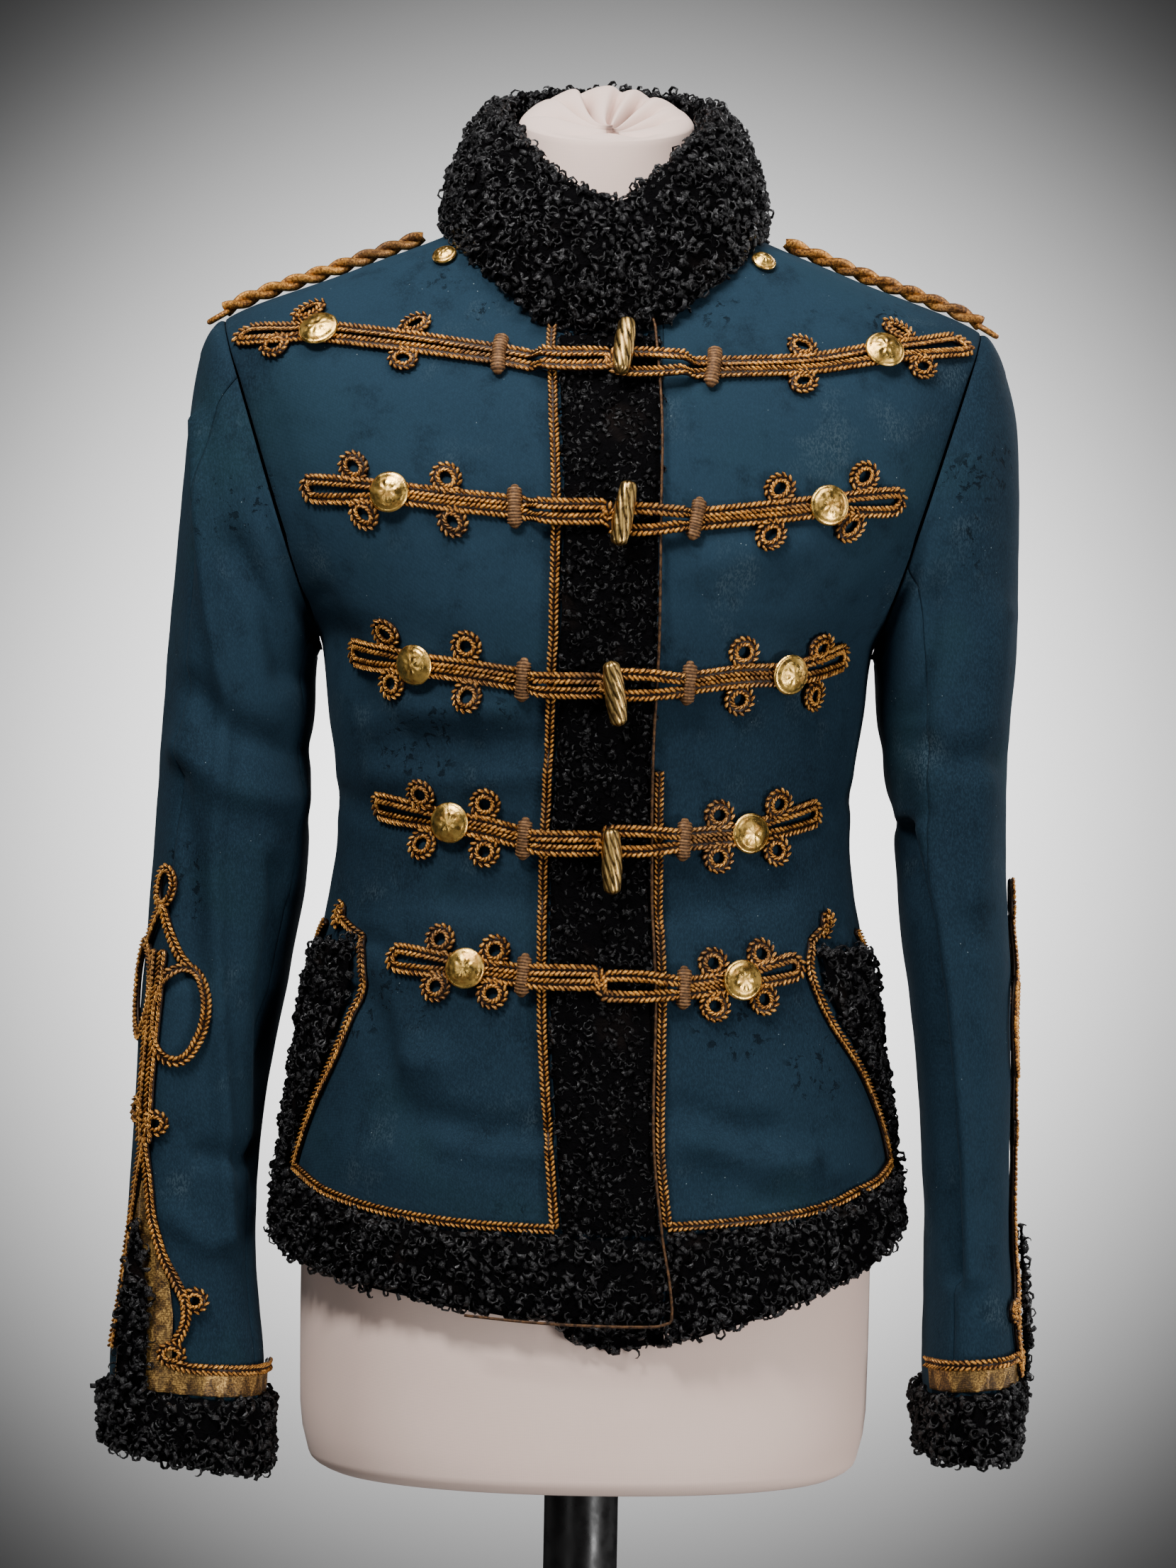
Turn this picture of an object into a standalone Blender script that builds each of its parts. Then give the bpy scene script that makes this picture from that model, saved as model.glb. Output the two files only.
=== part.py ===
"""Hussar officer's pelisse worn on a limbless dress form, at real size, in metres.

+Z is up, the coat faces -Y and the wearer's right side is at -X. The origin is on the
floor, under the middle of the stand. Every sewn piece is an object of its own. The coat's
body is a stack of rounded sections; a panel is a grid of (angle, height) places on it, and
fur, braid and buttons are set on the finished panels, moved out by named heights.
"""
import math

import bmesh
import bpy
import numpy as np
from mathutils import Matrix, Vector
from mathutils.bvhtree import BVHTree
from mathutils.geometry import delaunay_2d_cdt

# Sizes
CLOTH = 0.002            # wall of woollen cloth
SEAM = 0.0003            # gap between pieces sewn edge to edge
SEAT = 0.0006            # gap between layers that lie on each other
TRIM_SEAT = 0.0012       # gap under the frogs on the cloth
CORD_SEAT = 0.0015       # gap under the edges' braid and the cuffs' lace, and under the knots
FUR_SEAT = 0.0016        # gap under fur on the cloth
SIDE_FUR_SEAT = 0.0035   # and where the cloth turns sharply at the sides
BRAID_WIDTH = 0.0066     # one run of chain braid
BRAID_HEIGHT = 0.0040
EDGE_FUR = 0.0050        # worn fur of the front edging
PILE = 0.0085            # full fur at hem, sides and cuffs
FORM_CLEARANCE = 0.0022  # between the coat's inside and the dress form
LACE = 0.0009
BUTTON_RADIUS = 0.0115
BUTTON_HEIGHT = 0.0050
TOGGLE_LENGTH = 0.0370
TOGGLE_RADIUS = 0.0058
SHOULDER_CORD_RADIUS = 0.0047
POLE_RADIUS = 0.0215
BASE_RADIUS = 0.190
SECTION_ROUNDNESS = 2.2  # 2 is an ellipse, more is squarer
RIGHT, LEFT = -1, 1      # the wearer's sides, as the sign of x

# The body's sections: height, half width, depth in front and behind
BODY = (
    (0.780, 0.1790, 0.1270, 0.1240),
    (0.805, 0.1790, 0.1270, 0.1240),
    (0.850, 0.1785, 0.1250, 0.1210),
    (0.880, 0.1757, 0.1220, 0.1170),
    (0.915, 0.1700, 0.1180, 0.1120),
    (0.960, 0.1640, 0.1130, 0.1030),
    (1.015, 0.1565, 0.1085, 0.0920),
    (1.040, 0.1520, 0.1070, 0.0880),
    (1.070, 0.1490, 0.1075, 0.0860),
    (1.110, 0.1510, 0.1120, 0.0880),
    (1.145, 0.1560, 0.1190, 0.0930),
    (1.178, 0.1600, 0.1250, 0.0980),
    (1.200, 0.1760, 0.1270, 0.1010),
    (1.250, 0.2150, 0.1250, 0.1050),
    (1.300, 0.2330, 0.1140, 0.1050),
    (1.340, 0.2480, 0.0950, 0.0970),
    (1.366, 0.2195, 0.0800, 0.0860),
    (1.395, 0.1470, 0.0680, 0.0740),
    (1.4185, 0.0880, 0.0580, 0.0620),
    (1.436, 0.0560, 0.0520, 0.0560),
)
# Soft folds of the worn cloth: angle from centre front, height, half length, half width,
# tilt, and how far the cloth stands out there
FOLDS = (
    (-33, 1.117, 0.055, 0.015, 4, -0.0026),
    (-30, 1.137, 0.050, 0.014, 2, 0.0016),
    (-24, 1.040, 0.050, 0.014, -6, -0.0022),
    (26, 1.135, 0.045, 0.014, -5, -0.0020),
    (24, 1.042, 0.050, 0.014, 8, -0.0022),
    (-36, 0.950, 0.034, 0.015, -48, 0.0026),
    (-46, 0.962, 0.034, 0.014, -52, -0.0024),
    (-32, 0.882, 0.050, 0.014, -10, 0.0024),
    (-24, 0.903, 0.045, 0.014, -12, -0.0020),
    (30, 0.915, 0.050, 0.016, 24, 0.0026),
    (27, 0.888, 0.045, 0.014, 14, -0.0022),
    (140, 1.090, 0.060, 0.016, 6, -0.0024),
    (-142, 1.084, 0.060, 0.016, -5, -0.0024),
    (150, 0.950, 0.018, 0.070, 4, 0.0030),
    (-152, 0.950, 0.018, 0.070, -4, 0.0030),
)
# The armhole lies in one slanted plane
ARMPIT = (0.1600, 1.178)
SHOULDER_TIP = (0.2195, 1.366)
NECK_POINT = (0.0880, 1.4185)

# The fur edging down the wearer's right front: height, its cord, its free edge
PLACKET = (
    (0.790, -0.0130, 0.0475),
    (0.856, -0.0178, 0.0405),
    (0.905, -0.0222, 0.0355),
    (0.980, -0.0272, 0.0355),
    (1.040, -0.0278, 0.0325),
    (1.110, -0.0258, 0.0315),
    (1.180, -0.0245, 0.0335),
    (1.250, -0.0240, 0.0335),
    (1.300, -0.0265, 0.0335),
    (1.352, -0.0285, 0.0330),
    (1.370, -0.0285, 0.0330),
)
PLACKET_TOP = 1.3515

# The hem round one half: angle from centre front, lower edge of the fur, line of the cord
HEM = {
    RIGHT: (
        (-30, 0.7970, 0.853), (0, 0.8000, 0.853), (15, 0.8040, 0.854), (33, 0.8120, 0.858),
        (55, 0.8210, 0.868), (70, 0.8290, 0.879), (90, 0.8375, 0.884), (135, 0.8250, 0.876),
        (180, 0.8150, 0.868),
    ),
    LEFT: (
        (-30, 0.7850, 0.855), (10, 0.7890, 0.855), (26, 0.8000, 0.858), (44, 0.8150, 0.863),
        (63, 0.8290, 0.874), (90, 0.8480, 0.888), (135, 0.8280, 0.877), (180, 0.8150, 0.868),
    ),
}
HEM_TURN = 0.003         # the fur reaches this far below the cloth

# Rows of a front panel above the hem: height at the inner end, height at the side or armhole
FRONT_ROWS = (
    (0.898, 0.912), (0.935, 0.940), (0.970, 0.972), (1.005, 1.005), (1.038, 1.038),
    (1.070, 1.070), (1.100, 1.100), (1.130, 1.128), (1.160, 1.153), (1.190, 1.178),
    (1.215, 1.200), (1.245, 1.232), (1.277, 1.272), (1.308, 1.306), (1.338, 1.333),
    (1.364, 1.351),
)
# Places on the front neckline, from centre front to the shoulder, and the armhole's height
# at the other end of the same row
FRONT_NECK = (
    (0.048, 1.3785, 1.3575), (0.066, 1.3930, 1.3615), (0.0770, 1.4050, 1.3638),
    (0.0838, 1.4125, 1.3652), (0.0880, 1.4185, 1.3660),
)
# The side-back seam: height at the side seam, angle and height at the side-back seam
SIDE_BACK = (
    (0.925, 137, 0.920), (0.965, 138, 0.965), (1.005, 140, 1.008), (1.040, 141, 1.050),
    (1.075, 141, 1.092), (1.110, 140, 1.135), (1.145, 136, 1.180), (1.165, 131, 1.218),
)
SIDE_BACK_TOP = 1.252
# The back's rows above the side-back seam: heights at centre back and at the armhole, then
# at centre back and along the shoulder seam to the neck
BACK_ROWS = ((1.280, 1.280), (1.320, 1.305), (1.352, 1.328), (1.377, 1.349), (1.391, 1.3585), (1.400, 1.3635))
BACK_SHOULDER_ROWS = ((1.409, 1.3660), (1.420, 1.3920), (1.430, 1.4185))

# The cord round the side fur: x and height down its front edge, then angle and height down
# its back edge, and the small ring of braid at its top
SIDE_CORD = {
    RIGHT: ((0.1405, 1.0205), (0.1310, 1.011), (0.1285, 0.998), (0.1310, 0.980), (0.1405, 0.949),
            (0.1550, 0.915), (0.1625, 0.893)),
    LEFT: ((0.1300, 1.0200), (0.1235, 1.010), (0.1225, 0.996), (0.1310, 0.975), (0.1410, 0.958),
           (0.1570, 0.932), (0.1680, 0.905)),
}
SIDE_CORNER = {RIGHT: 70, LEFT: 80}
BACK_CORD_SPAN = (
    (75, 1.018), (81, 1.008), (88, 0.996), (95, 0.980), (103, 0.960), (110, 0.936), (115, 0.912),
    (118, 0.892),
)
SIDE_KNOT = {RIGHT: (0.1425, 1.0225), LEFT: (0.1325, 1.0225)}
SIDE_KNOT_RADIUS = 0.0050
SIDE_FUR_HEIGHTS = (1.0085, 1.004, 0.985, 0.962, 0.938, 0.914, 0.900)

# The five rows of braid, for each side: height at the front edge, the keeper, the pair of
# rings and their spread, the button, the leaf rings and their spread, the tip, and how
# much the slope of the shoulder flattens them
FROGS = {
    RIGHT: (
        (1.3335, 0.0579, 1.3385, 0.1108, 1.3460, 0.0205, 0.1597, 1.3520, 0.1780, 1.3545, 0.0200,
         0.2060, 1.3510, 0.76),
        (1.2496, 0.0469, 1.2525, 0.0834, 1.2560, 0.0240, 0.1157, 1.2600, 0.1343, 1.2614, 0.0262,
         0.1650, 1.2631, 1.0),
        (1.1560, 0.0403, 1.1575, 0.0711, 1.1620, 0.0272, 0.0993, 1.1655, 0.1145, 1.1688, 0.0280,
         0.1400, 1.1723, 1.0),
        (1.0670, 0.0380, 1.0690, 0.0601, 1.0745, 0.0268, 0.0790, 1.0772, 0.0956, 1.0785, 0.0280,
         0.1240, 1.0858, 1.0),
        (0.9917, 0.0370, 0.9924, 0.0540, 0.9940, 0.0240, 0.0690, 0.9955, 0.0850, 0.9981, 0.0264,
         0.1120, 1.0007, 1.0),
    ),
    LEFT: (
        (1.3320, 0.0620, 1.3335, 0.1134, 1.3370, 0.0205, 0.1579, 1.3455, 0.1770, 1.3490, 0.0210,
         0.2060, 1.3540, 0.76),
        (1.2460, 0.0530, 1.2475, 0.0969, 1.2530, 0.0255, 0.1260, 1.2575, 0.1434, 1.2606, 0.0280,
         0.1690, 1.2622, 1.0),
        (1.1570, 0.0500, 1.1575, 0.0798, 1.1620, 0.0265, 0.1056, 1.1640, 0.1227, 1.1657, 0.0268,
         0.1420, 1.1750, 1.0),
        (1.0690, 0.0490, 1.0700, 0.0690, 1.0720, 0.0240, 0.0870, 1.0740, 0.1020, 1.0777, 0.0264,
         0.1280, 1.0865, 1.0),
        (0.9873, 0.0510, 0.9870, 0.0680, 0.9890, 0.0240, 0.0830, 0.9915, 0.0950, 0.9935, 0.0255,
         0.1165, 1.0000, 1.0),
    ),
}
FROG_COLUMNS = (
    "edge_z", "keeper_x", "keeper_z", "pair_x", "pair_z", "pair_spread", "button_x", "button_z",
    "leaf_x", "leaf_z", "leaf_spread", "tip_x", "tip_z", "flatten",
)
RING_RADIUS = 0.0066     # middle line of a ring of braid
TIP_HALF_WIDTH = 0.0047
RUN_OFFSET = 0.0034      # two runs lie side by side, this far from their middle
FROG_MEET = 0.0050       # where the two halves of a frog meet, under the toggle
LOOP_SPREAD = 0.0062     # half height of the loop round a toggle
LOOP_START = 0.0280
# Where the frogs climb onto the front edge's fur and cord: start and end, from centre front
FROG_CLIMB = {RIGHT: (0.0405, 0.0330), LEFT: (0.0525, 0.0445)}
KEEPER_HALF = (0.0050, 0.0115)
TOGGLES = ((0.0117, 1.3369, 6), (0.0129, 1.2482, 9), (0.0098, 1.1533, -9), (0.0099, 1.0576, -2))
FROG_COUNT = 5

# Sleeves: for each ring, outer and inner edge seen from the front, middle and half depth
SLEEVE = {
    RIGHT: (
        (0.2195, 1.366, 0.1600, 1.178, 0.000, 0.069), (0.2330, 1.345, 0.1625, 1.170, -0.003, 0.069),
        (0.2395, 1.297, 0.1635, 1.158, -0.001, 0.070), (0.2450, 1.233, 0.1642, 1.140, 0.002, 0.070),
        (0.2500, 1.164, 0.1652, 1.112, 0.004, 0.068), (0.2530, 1.110, 0.1655, 1.080, 0.004, 0.066),
        (0.2555, 1.060, 0.1675, 1.040, 0.002, 0.064), (0.2585, 1.010, 0.1735, 1.000, -0.001, 0.061),
        (0.2610, 0.965, 0.1800, 0.960, -0.005, 0.058), (0.2625, 0.920, 0.1870, 0.920, -0.009, 0.055),
        (0.2640, 0.875, 0.1905, 0.878, -0.013, 0.052), (0.2665, 0.830, 0.1915, 0.835, -0.017, 0.049),
        (0.2700, 0.795, 0.1885, 0.795, -0.020, 0.047), (0.2735, 0.765, 0.1845, 0.760, -0.022, 0.046),
        (0.2705, 0.722, 0.1860, 0.705, -0.024, 0.045),
    ),
    LEFT: (
        (0.2195, 1.366, 0.1600, 1.178, 0.000, 0.069), (0.2340, 1.342, 0.1618, 1.171, -0.003, 0.070),
        (0.2420, 1.303, 0.1628, 1.160, -0.001, 0.071), (0.2440, 1.245, 0.1640, 1.143, 0.002, 0.072),
        (0.2435, 1.190, 0.1665, 1.122, 0.004, 0.073), (0.2400, 1.130, 0.1715, 1.095, 0.004, 0.073),
        (0.2390, 1.078, 0.1765, 1.062, 0.003, 0.072), (0.2405, 1.033, 0.1800, 1.022, 0.001, 0.070),
        (0.2435, 0.985, 0.1860, 0.980, -0.001, 0.068), (0.2440, 0.935, 0.1915, 0.935, -0.003, 0.065),
        (0.2440, 0.890, 0.1945, 0.890, -0.006, 0.062), (0.2445, 0.845, 0.1965, 0.845, -0.009, 0.059),
        (0.2480, 0.805, 0.1965, 0.805, -0.012, 0.057), (0.2495, 0.775, 0.1960, 0.770, -0.014, 0.056),
        (0.2445, 0.722, 0.2015, 0.722, -0.015, 0.055),
    ),
}
SLEEVE_ROUNDNESS = 2.25
# The pressed crease of each sleeve: its place round the sleeve, half width, height
CREASE = {RIGHT: (62, 20, 0.0055), LEFT: (118, 18, 0.0030)}
# Seams round the sleeve in degrees from its outer edge towards the front
HIND_SEAM = {RIGHT: 56, LEFT: 6}
FORE_SEAM = {RIGHT: 155, LEFT: 117}
SLEEVE_HEM = 14          # number of the ring at the cloth's lower edge
SHELL_RINGS = (0, 1, 2, 3.3, 4.7, 6.1, 7.5, 9, 10.5, 12, 13, 14)
CUFF_TOP = 13.3          # ring at the top of the cuff's fur
CUFF_ROWS = ((13.30, 0.40), (13.38, 1.0), (14.03, 1.0), (14.09, 0.40))

# The sleeve knot in its own flat: distance round the sleeve from the slit, and height
KNOT_EYE = (0.000, 1.0370, 0.0045, 0.0105)
KNOT_RINGS = ((-0.0155, 0.9780, 0.0125, 0.0265), (0.0165, 0.9650, 0.0165, 0.0270))
KNOT_STRANDS = (
    ((0.0, 1.0275), (-0.0055, 1.0160), (-0.0110, 1.0060), (-0.0155, 1.0040)),
    ((0.0, 1.0275), (0.0050, 1.0120), (0.0100, 0.9990), (0.0150, 0.9920)),
)
KNOT_STEM = ((0.0, 1.0010), (0.0, 0.9450), (0.0, 0.8920))
KNOT_LEAVES = ((-0.0065, 0.9100, 0.0048, 0.0052), (0.0065, 0.9030, 0.0048, 0.0052))
KNOT_BACK_LEG = (
    (0.0, 0.8950), (-0.0040, 0.8740), (-0.0090, 0.8500), (-0.0130, 0.8200), (-0.0160, 0.7950),
    (-0.0170, 0.7730),
)
KNOT_FRONT_LEG = (
    (0.0, 0.8950), (0.0040, 0.8740), (0.0080, 0.8500), (0.0140, 0.8300), (0.0220, 0.8150),
    (0.0270, 0.8040), (0.0280, 0.7920), (0.0235, 0.7790),
)
KNOT_CURLS = ((0.0325, 0.8030, 0.0050, 0.0052), (0.0212, 0.7725, 0.0050, 0.0050))
KNOT_BAND_START = 0.0300
KNOT_BAND_LIFT = 0.0160  # the band's cord above the cuff's fur
KNOT_BAND_LENGTH = {RIGHT: 0.105, LEFT: 0.100}
SLIT_FUR = ((0.0015, 0.8480), (0.0060, 0.8280), (0.0095, 0.8050), (0.0100, 0.7850))

# The collar: place of its lower edge on the body, then its rim
COLLAR = (
    (0.0005, 1.3525, "front", 0.0005, -0.0840, 1.4300), (0.0170, 1.3530, "front", 0.0120, -0.0840, 1.4345),
    (0.0340, 1.3570, "front", 0.0260, -0.0820, 1.4440), (0.0520, 1.3720, "front", 0.0420, -0.0760, 1.4580),
    (0.0690, 1.3880, "front", 0.0560, -0.0630, 1.4720), (0.0830, 1.4030, "front", 0.0655, -0.0420, 1.4825),
    (0.0900, 1.4120, "front", 0.0720, -0.0220, 1.4880),
    (0.0930, 1.4163, "side", 0.0740, -0.0050, 1.4920), (0.0700, 1.4210, "back", 0.0690, 0.0340, 1.5030),
    (0.0400, 1.4240, "back", 0.0430, 0.0620, 1.5120), (0.0000, 1.4250, "back", 0.0000, 0.0730, 1.5160),
)
COLLAR_PILE = 0.0100
COLLAR_THICK = 0.0130
COLLAR_SPLIT_X = 0.0080
# Steps up the collar: share of the way to the rim, share of the pile, how far it swells
COLLAR_STEPS = ((0.0, 0.35, 0.0), (0.10, 1.0, 0.0010), (0.45, 1.0, 0.0045), (0.80, 1.0, 0.0030), (1.0, 0.8, 0.0))

# The dress form's sections below the coat's waist and above its shoulders
FORM_LOW = (
    (0.7020, 0.1180, 0.0850, 0.0850), (0.7030, 0.1480, 0.1080, 0.1060), (0.7110, 0.1590, 0.1170, 0.1150),
    (0.7400, 0.1645, 0.1185, 0.1170), (0.8200, 0.1655, 0.1125, 0.1110), (0.9000, 0.1590, 0.1080, 0.1030),
    (0.9500, 0.1530, 0.1040, 0.0960), (1.0000, 0.1460, 0.1000, 0.0880), (1.0600, 0.1405, 0.0985, 0.0790),
)
FORM_BODY_HEIGHTS = (1.120, 1.178, 1.225, 1.275, 1.320, 1.355, 1.380, 1.400, 1.412)
FORM_HIGH = (
    (1.4250, 0.0610, 0.0530, 0.0530), (1.4420, 0.0535, 0.0520, 0.0500), (1.4850, 0.0495, 0.0500, 0.0480),
    (1.5000, 0.0450, 0.0420, 0.0460), (1.5110, 0.0310, 0.0250, 0.0360), (1.5150, 0.0170, 0.0100, 0.0240),
)
FORM_SIDES = 18
FRONT_COLUMNS = {RIGHT: 9, LEFT: 8}
BACK_COLUMNS = 5
UPPER_COLUMNS = 6

materials = {}
girths = {}
collection = bpy.data.collections.new("pelisse_on_dress_form")


def clear_scene():
    """Remove what is in the scene, so that only this model is built."""
    for item in list(bpy.data.objects):
        bpy.data.objects.remove(item, do_unlink=True)
    bpy.context.scene.collection.children.link(collection)


def material(name, colour, roughness, metallic=0.0):
    """A plain finish, made once and shared by name."""
    if name not in materials:
        finish = bpy.data.materials.new(name)
        finish.use_nodes = True
        shader = finish.node_tree.nodes["Principled BSDF"]
        shader.inputs["Base Color"].default_value = (*colour, 1.0)
        shader.inputs["Roughness"].default_value = roughness
        shader.inputs["Metallic"].default_value = metallic
        finish.diffuse_color = (*colour, 1.0)
        materials[name] = finish
    return materials[name]


def blue_cloth():
    return material("blue_cloth", (0.030, 0.075, 0.115), 0.90)


def black_fur():
    return material("black_fur", (0.012, 0.010, 0.012), 0.95)


def gold_braid():
    return material("gold_braid", (0.36, 0.18, 0.055), 0.55, 0.3)


def gold_lace():
    return material("gold_lace", (0.30, 0.18, 0.06), 0.50, 0.4)


def gilt_metal():
    return material("gilt_metal", (0.83, 0.58, 0.22), 0.28, 1.0)


def aged_brass():
    return material("aged_brass", (0.48, 0.34, 0.17), 0.38, 1.0)


def form_cover():
    return material("form_cover", (0.66, 0.54, 0.48), 0.80)


def black_metal():
    return material("black_metal", (0.010, 0.010, 0.010), 0.35)


def smooth_step(value):
    value = min(1.0, max(0.0, value))
    return value * value * (3 - 2 * value)


def smooth_table(rows):
    """Monotone cubic through a table whose first column rises. Returns a lookup."""
    table = np.array(rows, dtype=float)
    places, values = table[:, 0], table[:, 1:]
    steps = np.diff(places)[:, None]
    slopes = np.diff(values, axis=0) / steps
    tangents = np.zeros_like(values)
    tangents[0], tangents[-1] = slopes[0], slopes[-1]
    for row in range(1, len(places) - 1):
        before, after = slopes[row - 1], slopes[row]
        same_way = before * after > 0
        safe = np.where(same_way, before + after, 1.0)
        tangents[row] = np.where(same_way, 2 * before * after / safe, 0.0)

    def lookup(place):
        place = min(max(place, places[0]), places[-1])
        row = min(int(np.searchsorted(places, place, side="right")) - 1, len(places) - 2)
        step = places[row + 1] - places[row]
        share = (place - places[row]) / step
        rest = 1 - share
        return (
            (1 + 2 * share) * rest * rest * values[row]
            + share * rest * rest * step * tangents[row]
            + share * share * (3 - 2 * share) * values[row + 1]
            - share * share * rest * step * tangents[row + 1]
        )
    return lookup


body_section = smooth_table(BODY)
placket_line = smooth_table(PLACKET)
hem_line = {side: smooth_table(rows) for side, rows in HEM.items()}
sleeve_ring = {
    side: smooth_table([(number, *row) for number, row in enumerate(rows)])
    for side, rows in SLEEVE.items()
}


def signed_power(value, power):
    return math.copysign(abs(value) ** power, value)


def rounded(angle, half_width, front, back):
    """A point on a section, angle 0 at centre front and 90 degrees at the wearer's left."""
    power = 2 / SECTION_ROUNDNESS
    across = half_width * signed_power(math.sin(angle), power)
    depth = front if math.cos(angle) > 0 else back
    return across, -depth * signed_power(math.cos(angle), power)


def fold_height(angle, z):
    """How far the folds lift the cloth at a place on the body."""
    lift = 0.0
    degrees = math.degrees(angle)
    for fold_angle, fold_z, half_length, half_width, tilt, height in FOLDS:
        across = math.radians((degrees - fold_angle + 180) % 360 - 180) * 0.15
        up = z - fold_z
        turn = math.radians(tilt)
        along = across * math.cos(turn) + up * math.sin(turn)
        over = up * math.cos(turn) - across * math.sin(turn)
        lift += height * math.exp(-(along / half_length) ** 2 - (over / half_width) ** 2)
    return lift


def bare_body(angle, z):
    half_width, front, back = body_section(z)
    across, depth = rounded(angle, half_width, front, back)
    return Vector((across, depth, z))


def body_normal(angle, z):
    turn, rise = math.radians(1.0), 0.002
    around = bare_body(angle + turn, z) - bare_body(angle - turn, z)
    upward = bare_body(angle, z + rise) - bare_body(angle, z - rise)
    return around.cross(upward).normalized()


def body(angle, z, out=0.0):
    """A point of the coat's body, moved out along its normal."""
    return bare_body(angle, z) + body_normal(angle, z) * (out + fold_height(angle, z))


def angle_at(x, z):
    """The angle of the front's point that is seen at x, at one height."""
    half_width = body_section(z)[0]
    share = min(1.0, abs(x) / half_width)
    return math.copysign(math.asin(share ** (SECTION_ROUNDNESS / 2)), x)


def armhole_x(z):
    share = (z - ARMPIT[1]) / (SHOULDER_TIP[1] - ARMPIT[1])
    return ARMPIT[0] + share * (SHOULDER_TIP[0] - ARMPIT[0])


def armhole_angle(z, behind=False):
    angle = angle_at(armhole_x(z), z)
    return math.pi - angle if behind else angle


def girth(z):
    """Angles round the body, and the distance to each from centre front, at one height."""
    key = round(z, 4)
    if key not in girths:
        angles = np.radians(np.arange(-200, 381, 2.0))
        places = [bare_body(angle, key) for angle in angles]
        steps = [(after - before).length for before, after in zip(places, places[1:])]
        lengths = np.concatenate(([0.0], np.cumsum(steps)))
        girths[key] = (angles, lengths - lengths[100])
    return girths[key]


def arc_to(angle, z):
    """The distance round the body from centre front to an angle."""
    angles, lengths = girth(z)
    return float(np.interp(angle, angles, lengths))


def arc_angle(across, z):
    angles, lengths = girth(z)
    return float(np.interp(across, lengths, angles))


# Making solids
def add_object(name, mesh, finish):
    item = bpy.data.objects.new(name, mesh)
    item.data.materials.append(finish)
    collection.objects.link(item)
    return item


def mesh_from(name, points, faces, smooth=True):
    """A mesh with its faces pointing out, in triangles."""
    shape = bmesh.new()
    corners = [shape.verts.new(point) for point in points]
    for face in faces:
        shape.faces.new([corners[number] for number in face])
    bmesh.ops.triangulate(shape, faces=shape.faces[:], quad_method="FIXED")
    bmesh.ops.recalc_face_normals(shape, faces=shape.faces[:])
    mesh = bpy.data.meshes.new(name)
    shape.to_mesh(mesh)
    shape.free()
    if smooth:
        mesh.shade_smooth()
        mesh.set_sharp_from_angle(angle=math.radians(50))
    return mesh


def slab(name, lower, upper, finish, ring=False):
    """A closed solid between two grids of points, open or joined round."""
    rows, columns = len(lower), len(lower[0])
    size = rows * columns
    points = [point for row in lower for point in row] + [point for row in upper for point in row]

    def at(row, column, layer):
        return layer * size + row * columns + column % columns

    faces = []
    spans = columns if ring else columns - 1
    for row in range(rows - 1):
        for column in range(spans):
            for layer in (0, 1):
                faces.append((
                    at(row, column, layer), at(row, column + 1, layer),
                    at(row + 1, column + 1, layer), at(row + 1, column, layer),
                ))
    for column in range(spans):
        for row in (0, rows - 1):
            faces.append((at(row, column, 0), at(row, column + 1, 0), at(row, column + 1, 1), at(row, column, 1)))
    if not ring:
        for row in range(rows - 1):
            for column in (0, columns - 1):
                faces.append((at(row, column, 0), at(row + 1, column, 0), at(row + 1, column, 1), at(row, column, 1)))
    return add_object(name, mesh_from(name, points, faces), finish)


def stack(name, rings, finish):
    """A closed solid through rings of points, bottom to top."""
    count = len(rings[0])
    points = [point for ring in rings for point in ring]
    faces = [tuple(range(count)), tuple(range(len(points) - count, len(points)))]
    for level in range(len(rings) - 1):
        for number in range(count):
            after = (number + 1) % count
            low, high = level * count, (level + 1) * count
            faces.append((low + number, low + after, high + after, high + number))
    return add_object(name, mesh_from(name, points, faces), finish)


def turned(name, profile, steps, place, finish):
    """A turned solid: a profile of (radius, height), top to bottom, with a Screw modifier."""
    mesh = bpy.data.meshes.new(name)
    points = [(radius, 0.0, height) for radius, height in profile]
    edges = [(number, number + 1) for number in range(len(points) - 1)]
    mesh.from_pydata(points, edges, [])
    item = add_object(name, mesh, finish)
    screw = item.modifiers.new("turn", "SCREW")
    screw.axis = "Z"
    screw.angle = math.tau
    screw.steps = steps
    screw.render_steps = steps
    screw.use_merge_vertices = True
    screw.merge_threshold = 0.00001
    screw.use_smooth_shade = True
    item.matrix_world = place
    return item


def facing(point, normal, up=Vector((0, 0, 1)), lean=0.0):
    """A place whose Z points along the normal, with its Y near up, turned by a lean."""
    across = up.cross(normal).normalized()
    upward = normal.cross(across)
    turn = Matrix((across, upward, normal)).transposed().to_4x4()
    return Matrix.Translation(point) @ turn @ Matrix.Rotation(math.radians(lean), 4, "Z")


class Cloth:
    """The outer faces of finished panels, which trims are set on."""

    def __init__(self, panels):
        points, faces = [], []
        for panel in panels:
            start = len(points)
            points += [vertex.co.copy() for vertex in panel.data.vertices]
            faces += [[start + number for number in face.vertices] for face in panel.data.polygons]
        self.tree = BVHTree.FromPolygons(points, faces)

    def seat(self, point, normal, out):
        """The cloth's face under a point, moved out along the normal."""
        reach = 0.012
        hit, *_ = self.tree.ray_cast(point + normal * reach, -normal, 2 * reach)
        return (hit if hit is not None else point) + normal * out


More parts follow.
